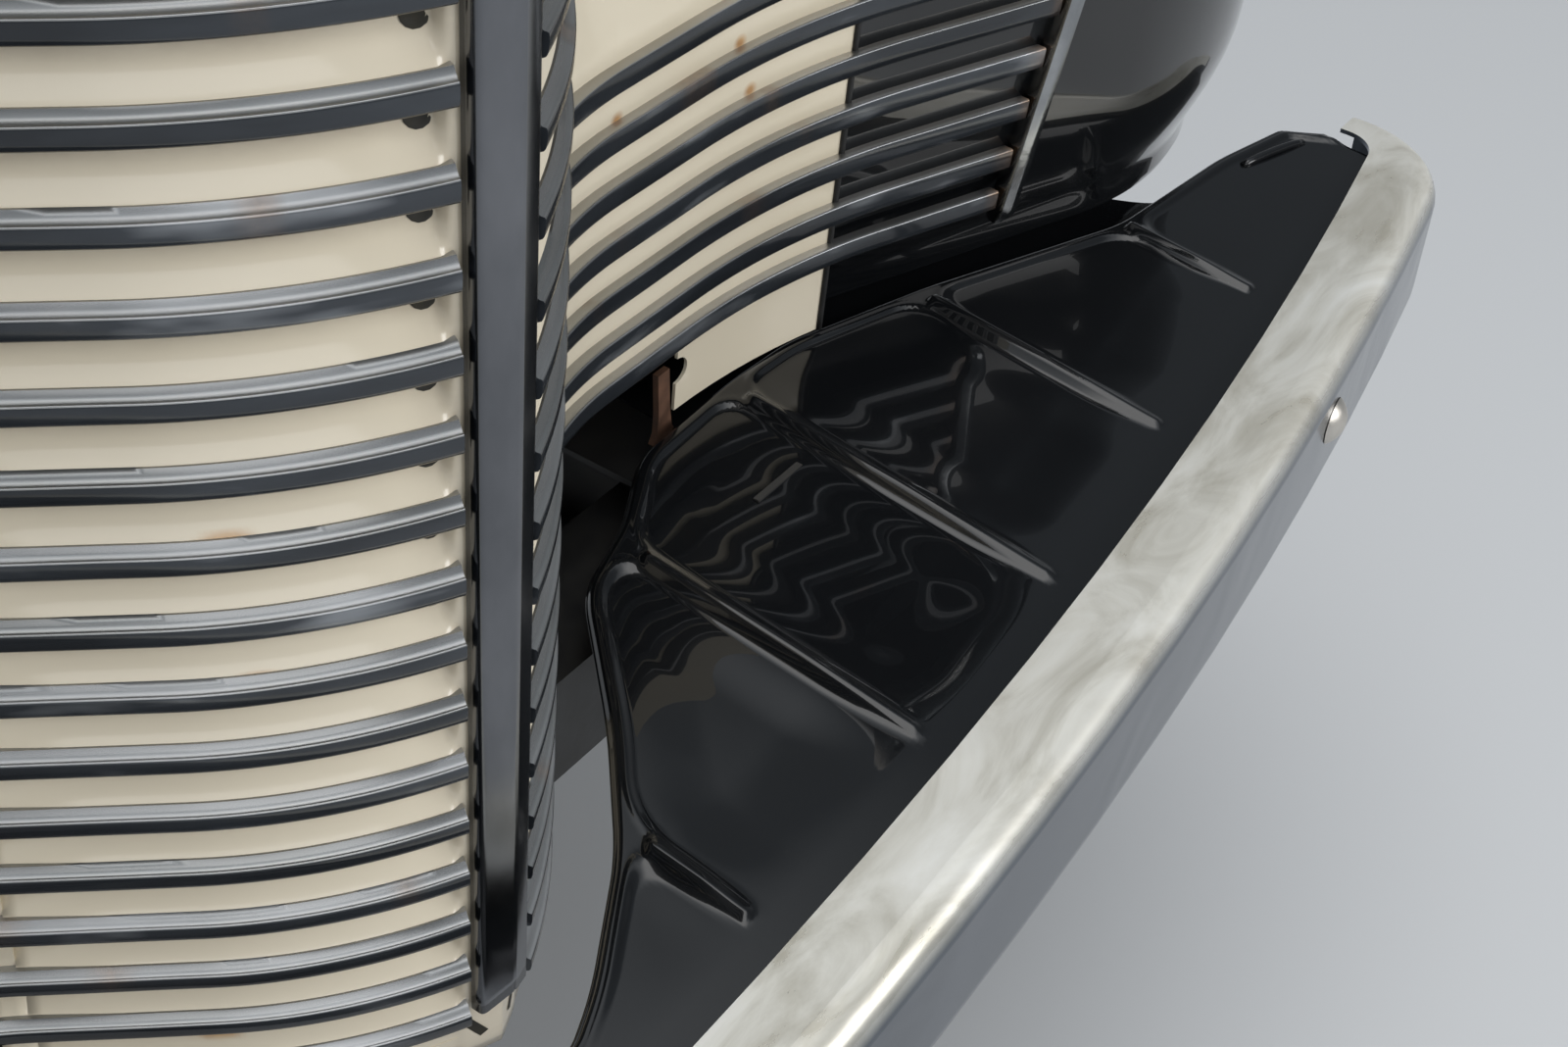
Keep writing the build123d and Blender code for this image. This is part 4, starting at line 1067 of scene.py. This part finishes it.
def fender_ring(p, share):
    """Section of the fender at a place, from its inner lip up and over to the seam."""
    out = Vector((p.nx, p.ny, 0.0))
    w = wall(p, 0.0, LIP_Z)
    low = max(LIP_Z, arch_z(w.y) if w.x > ARCH_X else 0.0)
    core = wall(p, -CORE_IN, CORE_UP)
    ring = []
    for i in range(SIDE_ROWS):
        z = low + (CORE_UP - low) * (i / (SIDE_ROWS - 1)) ** 1.25
        v = march(p, wall(p, -CORE_IN, z), out)
        bead = LIP_BEAD * math.exp(-((z - low - LIP_BEAD_UP) / LIP_BEAD_UP) ** 2)
        ring.append(v + out * bead)
    lip = [ring[0] - out * back + Vector((0, 0, up)) for back, up in LIP_RETURN]
    for i in range(1, ROUND_ROWS + 1):
        a = math.radians(90.0 * i / ROUND_ROWS)
        ring.append(march(p, core, out * math.cos(a) + Vector((0, 0, math.sin(a)))))
    seam = SEAM_X + SEAM_FIT
    q = Vector((seam, core.y + (FENDER_REAR_Y - core.y) * share, CORE_UP))
    if core.x > SEAM_X + 1.5:
        for i in range(1, TOP_ROWS + 1):
            start = core + (q - core) * (i / TOP_ROWS)
            ring.append(march(p, start, Vector((0, 0, 1)), False))
    else:
        ring += [ring[-1].copy() for _ in range(TOP_ROWS)]
    ring = lip + ring
    ring.append(Vector((seam, ring[-1].y, min(ring[-1].z, CATWALK_TOP_Z - SEAM_DROP))))
    for v in ring:
        v.x = min(v.x, FENDER_SIDE_X)
    return [metres(v) for v in ring]


def fender_path():
    """Places from the seam round the front corner and back along the side."""
    first = plan_at_x(SEAM_X + SEAM_FIT)
    side_leg = len(LEGS) - 1
    path = [first] + [p for p in PLAN if p.s > first.s + 1 and p.leg < side_leg]
    y = path[-1].y
    side = PLAN[-1]
    for i in range(1, SIDE_STEPS + 1):
        yy = y + (FENDER_REAR_Y - y) * i / SIDE_STEPS
        s = path[-1].s + (FENDER_REAR_Y - y) / SIDE_STEPS
        path.append(Place(side.x, yy, side.nx, side.ny, side_leg, s))
    return path


def fender_shell():
    """Fender skin, with a cheek that closes its inner front edge above the catwalk."""
    path = fender_path()
    total = path[-1].s - path[0].s
    left = [fender_ring(p, ((p.s - path[0].s) / total) ** 1.1) for p in path]
    shelf = (CATWALK_TOP_Z - SPLICE_Z - SEAM_DROP) / 1000
    for side, tag in SIDES:
        rings = [on_side(ring, side) for ring in left]
        verts = joined(rings)
        faces = grid_faces(len(rings), len(rings[0]))
        cheek = [k for k, v in enumerate(rings[0][:-1]) if v.z > shelf]
        foot = rings[0][cheek[0]].copy()
        foot.z = shelf
        verts.append(foot)
        faces.append(tuple(cheek) + (len(rings[0]) - 1, len(verts) - 1))
        o = new_piece("fender_shell_" + tag, verts, faces, BLACK)
        merge = bmesh.new()
        merge.from_mesh(o.data)
        bmesh.ops.remove_doubles(merge, verts=merge.verts, dist=0.0001)
        merge.to_mesh(o.data)
        merge.free()
        o.data.polygons.foreach_set("use_smooth", [True] * len(o.data.polygons))
        sharpen(o, 50)
        thicken(o, FENDER_SHEET)
        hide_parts("fender_" + tag)


def skirt_brackets():
    """Bent rusty strap in the opening behind each skirt's notch."""
    x0, x1 = STRAP_X
    y0, y1 = STRAP_Y
    for side, tag in SIDES:
        rings = []
        for z, grow in STRAP_LEVELS:
            corners = ((x0 - grow, y0), (x1 + grow, y0), (x1 + grow, y1), (x0 - grow, y1))
            rings.append([at(side * x, y, z) for x, y in corners])
        verts, faces = sweep(rings)
        o = new_piece("skirt_bracket_" + tag, verts, faces, RUSTY)
        sharpen(o, 30)


def nose_struts():
    """Struts from the core support to the inside of the nose, each with a bent foot."""
    inside = -SCALLOP - 1.5
    y0 = wall(plan_at_x(STRUT_X, inside), inside, STRUT_Z).y + STRUT_GAP
    blocks = [(STRUT_X, STRUT_X + STRUT_T, y0 + STRUT_TIP, CORE_Y),
              (STRUT_X, STRUT_X + STRUT_FOOT_W, y0 + STRUT_FOOT[0], y0 + STRUT_FOOT[1])]
    for side, tag in SIDES:
        verts = []
        faces = []
        for x0, x1, ya, yb in blocks:
            rings = [[at(side * x, y, z) for x, y in ((x0, ya), (x1, ya), (x1, yb), (x0, yb))]
                     for z in (STRUT_Z - STRUT_W / 2, STRUT_Z + STRUT_W / 2)]
            block_verts, block_faces = sweep(rings)
            faces += [tuple(len(verts) + k for k in f) for f in block_faces]
            verts += block_verts
        o = new_piece("nose_strut_" + tag, verts, faces, SATIN, flat=True)
        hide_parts("nose_brace_" + tag)


def lamp_inside():
    """Silvered bowl, bulb and socket behind each lamp's glass."""
    for side, tag in SIDES:
        rings = []
        for i in range(BOWL_RINGS):
            t = i / (BOWL_RINGS - 1)
            r = BOWL_R * (1 - t) + BOWL_NECK_R * t
            y = LAMP_Y + BOWL_MOUTH + BOWL_DEEP * (1 - (r / BOWL_R) ** 2)
            rings.append(circle(side, LAMP_X, y, LAMP_Z, r, BOWL_SPOKES))
        faces = grid_faces(BOWL_RINGS, BOWL_SPOKES, wrap=True)
        bowl = new_piece("lamp_bowl_" + tag, joined(rings), faces, SILVER)
        thicken(bowl, BOWL_SHEET)
        rings = []
        for i in range(BULB_RINGS):
            a = math.pi * i / (BULB_RINGS - 1)
            r = max(0.3, BULB_R * math.sin(a))
            y = LAMP_Y + BULB_AT - BULB_HALF * math.cos(a)
            rings.append(circle(side, LAMP_X, y, LAMP_Z, r, BULB_SPOKES))
        verts, faces = sweep(rings)
        new_piece("lamp_bulb_" + tag, verts, faces, BULB)
        rings = [circle(side, LAMP_X, LAMP_Y + back, LAMP_Z, SOCKET_R, BULB_SPOKES)
                 for back in SOCKET_AT]
        verts, faces = sweep(rings)
        o = new_piece("bulb_socket_" + tag, verts, faces, STEEL)
        sharpen(o, 40)


# Splash apron, pressed with ribs and sunk panels

def apron_rear(x):
    """Rear edge, straight between the listed points."""
    pts = [(u * APRON_HALF, v * APRON_REACH) for u, v in APRON_REAR]
    for (xa, ya), (xb, yb) in zip(pts, pts[1:]):
        if xa <= x <= xb:
            return ya + (yb - ya) * (x - xa) / (xb - xa)
    return pts[-1][1]


def apron_rear_soft(x):
    """Rear edge with its corners rounded."""
    total = 0.0
    for k in range(-4, 5):
        total += apron_rear(abs(min(APRON_HALF, x + k * 3.0)))
    return total / 9


def apron_front(x):
    """Front edge behind the bumper's bow, cut back at the outer corner."""
    y = BUMPER_BOW_R - math.sqrt(BUMPER_BOW_R ** 2 - x * x) - APRON_TUCK
    if x > APRON_HALF - APRON_CORNER:
        cut = smooth(APRON_HALF - APRON_CORNER, APRON_HALF, x)
        y = max(y, APRON_CORNER_Y * cut + y * (1 - cut))
    return y


def soft_min(a, b, r):
    """Smaller of two values, rounded over r."""
    h = max(0.0, min(1.0, 0.5 + 0.5 * (b - a) / r))
    return b + (a - b) * h - r * h * (1 - h)


RIB_LINES = [(u * APRON_HALF, v0 * APRON_REACH, v1 * APRON_REACH) for u, v0, v1 in RIBS]
PANEL_X = [-RIB_LINES[0][0]] + [rib[0] for rib in RIB_LINES] + [APRON_HALF + 14]
PANEL_FRONT = [RIB_LINES[0][1]] + [rib[1] for rib in RIB_LINES] + [RIB_LINES[-1][1]]


def rib_height(x, y):
    """Height of the ribs, which rise and widen to the rear."""
    h = 0.0
    for rx, y0, y1 in RIB_LINES:
        length = y1 - y0 - 2 * RIB_END
        t = min(1.0, max(0.0, (y - y0 - RIB_END) / length))
        d = math.hypot(x - rx, y - (y0 + RIB_END + length * t))
        width = RIB_W + 1.0 * t
        tall = RIB_TALL + 1.6 * smooth(0.0, 0.5, t)
        if d < width:
            h = max(h, tall * (1 - smooth(0.35, 1.0, d / width)))
    return h


def apron_height(x, y):
    """Height of the pressing above the apron's plane."""
    rear = apron_rear_soft(x)
    slope = (apron_rear_soft(x + 2) - apron_rear_soft(x - 2)) / 4
    to_rear = (rear - y) / math.sqrt(1 + slope * slope)
    h = rib_height(x, y)
    for i, (a, b) in enumerate(zip(PANEL_X, PANEL_X[1:])):
        if a < x <= b:
            d = soft_min(x - a - PANEL_INSET, b - PANEL_INSET - x, 9)
            d = soft_min(d, to_rear - PANEL_BACK, 20)
            front = PANEL_FRONT[i] + (PANEL_FRONT[i + 1] - PANEL_FRONT[i]) * (x - a) / (b - a)
            fade = smooth(front - 4, front + 60, y)
            h -= (PANEL_SINK * smooth(-0.5, 3.8, d) + PANEL_DISH * smooth(3.0, 40.0, d)) * fade
            h += PANEL_EDGE * math.exp(-((d + 1.3) / 1.3) ** 2) * fade
    h -= REAR_ROLL * (1 - smooth(0.0, REAR_ROLL_W, to_rear)) ** 2
    h += 0.1 * noise.noise(Vector((x * 0.012, y * 0.015, 4.0)))
    return h


def apron():
    """Pressed sheet of the apron and its rear flanges."""
    verts = []
    for column in range(-APRON_COLUMNS, APRON_COLUMNS + 1):
        x = APRON_HALF * column / APRON_COLUMNS
        ax = abs(x)
        y0 = apron_front(ax)
        y1 = apron_rear_soft(ax)
        for j in range(APRON_ROWS + 1):
            y = y0 + (y1 - y0) * (1 - (1 - j / APRON_ROWS) ** 1.25)
            verts.append(at(x, y, APRON_Z + APRON_RISE * y + apron_height(ax, y)))
    faces = grid_faces(2 * APRON_COLUMNS + 1, APRON_ROWS + 1)
    o = new_piece("apron_pressing", verts, faces, BLACK)
    thicken(o, APRON_SHEET)
    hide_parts("splash_apron")
    for side, tag in SIDES:
        apron_flange(side, tag)


def apron_flange(side, tag):
    """Flange turned down and back from the apron's rear edge, narrowing outward."""
    rings = []
    for i in range(FLANGE_STEPS + 1):
        t = i / FLANGE_STEPS
        x = FLANGE_START_X + (FLANGE_END * APRON_HALF - FLANGE_START_X) * t
        wide = FLANGE_TIP_W + (FLANGE_W - FLANGE_TIP_W) * (1 - smooth(0.86, 1.0, t))
        rear = apron_rear_soft(x)
        z = APRON_Z + APRON_RISE * rear
        low = z - FLANGE_DROP
        back = low + APRON_RISE * wide
        ring = [at(x, rear - 3.0, z - 4.6), at(x, rear - 1.6, low + 3), at(x, rear + 1.5, low),
                at(x, rear + wide, back - 1.5), at(x, rear + wide, back - 3.5),
                at(x, rear - 3.5, low - 2)]
        rings.append(on_side(ring, side))
    verts, faces = sweep(rings)
    flange = new_piece("apron_flange_" + tag, verts, faces, BLACK)
    sharpen(flange, 40)
    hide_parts("splash_apron")


def apron_bead():
    """Short raised bead near each outer end of the apron."""
    path = []
    for i in range(BEAD_STEPS + 1):
        t = i / BEAD_STEPS
        x = BEAD_X + BEAD_LENGTH * t
        y = apron_rear_soft(x) - BEAD_BACK - BEAD_SKEW * t
        proud = 2.6 * math.sin(math.pi * t) ** 0.5 - 3.0
        path.append(Vector((x, y, APRON_Z + APRON_RISE * y + proud)))
    for side, tag in SIDES:
        tube("apron_bead_" + tag, path, BEAD_R, BLACK, side, 10)


bars()
nose_skin()
holes()
strip_piece()
end_strips()
welts()
fender_shell()
lamp_inside()
apron()
apron_bead()
nose_struts()
skirt_brackets()


# Floor, light and camera

def floor():
    """Plain pale floor at the road's level."""
    me = bpy.data.meshes.new("floor")
    corners = ((-1, -1), (1, -1), (1, 1), (-1, 1))
    verts = [(FLOOR_HALF * x, FLOOR_HALF * y, FLOOR_Z) for x, y in corners]
    me.from_pydata(verts, [], [(0, 1, 2, 3)])
    o = bpy.data.objects.new("floor", me)
    bpy.context.scene.collection.objects.link(o)
    me.materials.append(surface("floor_pale", (0.52, 0.53, 0.54), roughness=0.7))


def area(name, place, target, size, power):
    """Softbox at a place, turned to a target."""
    lamp = bpy.data.lights.new(name, "AREA")
    lamp.shape = "RECTANGLE"
    lamp.size, lamp.size_y = size
    lamp.energy = power
    o = bpy.data.objects.new(name, lamp)
    bpy.context.scene.collection.objects.link(o)
    o.location = place
    o.rotation_mode = "QUATERNION"
    o.rotation_quaternion = (Vector(target) - Vector(place)).to_track_quat("-Z", "Y")


def sky():
    """Overcast sky, bright overhead, in light and reflections; the camera sees plain pale."""
    world = bpy.data.worlds.new("studio")
    bpy.context.scene.world = world
    world.use_nodes = True
    t = world.node_tree
    light = t.nodes["Background"]
    coord = t.nodes.new("ShaderNodeTexCoord")
    axes = t.nodes.new("ShaderNodeSeparateXYZ")
    link(t, coord, "Generated", axes, "Vector")
    zenith = ramp(t, axes, "Z", [(0.0, (0.11, 0.115, 0.12)), (0.5, (0.05, 0.055, 0.06)),
                                 (0.78, (0.09, 0.10, 0.11)), (0.90, (0.40, 0.42, 0.44)),
                                 (0.97, (1.0, 1.0, 1.0))])
    link(t, zenith, "Color", light, "Color")
    light.inputs["Strength"].default_value = SKY_STRENGTH
    plain = t.nodes.new("ShaderNodeBackground")
    plain.inputs["Color"].default_value = (0.72, 0.74, 0.77, 1)
    ray = t.nodes.new("ShaderNodeLightPath")
    either = t.nodes.new("ShaderNodeMixShader")
    link(t, ray, "Is Camera Ray", either, "Fac")
    link(t, light, "Background", either, 1)
    link(t, plain, "Background", either, 2)
    link(t, either, "Shader", t.nodes["World Output"], "Surface")


def camera():
    """Camera where the photo's stood, by heading, downward pitch and roll."""
    ahead = math.cos(PITCH)
    look = Vector((ahead * math.cos(HEADING), ahead * math.sin(HEADING), -math.sin(PITCH)))
    level = Vector((math.sin(HEADING), -math.cos(HEADING), 0))
    upright = level.cross(look)
    right = math.cos(ROLL) * level + math.sin(ROLL) * upright
    up = math.cos(ROLL) * upright - math.sin(ROLL) * level
    cam = bpy.data.cameras.new("camera")
    cam.sensor_width = SENSOR
    cam.lens = LENS
    cam.clip_start = 0.01
    eye = bpy.data.objects.new("camera", cam)
    bpy.context.scene.collection.objects.link(eye)
    m = Matrix((right, up, -look)).transposed().to_4x4()
    m.translation = at(*EYE)
    eye.matrix_world = m
    bpy.context.scene.camera = eye


floor()
area("key", (-2.2, -3.0, 2.6), (0, -0.9, 0.2), (2.4, 1.6), 24)
area("front", (0.9, -4.0, 1.5), (0, -0.8, 0.25), (2.4, 1.4), 66)
sky()
camera()

bpy.context.scene.view_settings.view_transform = "Standard"
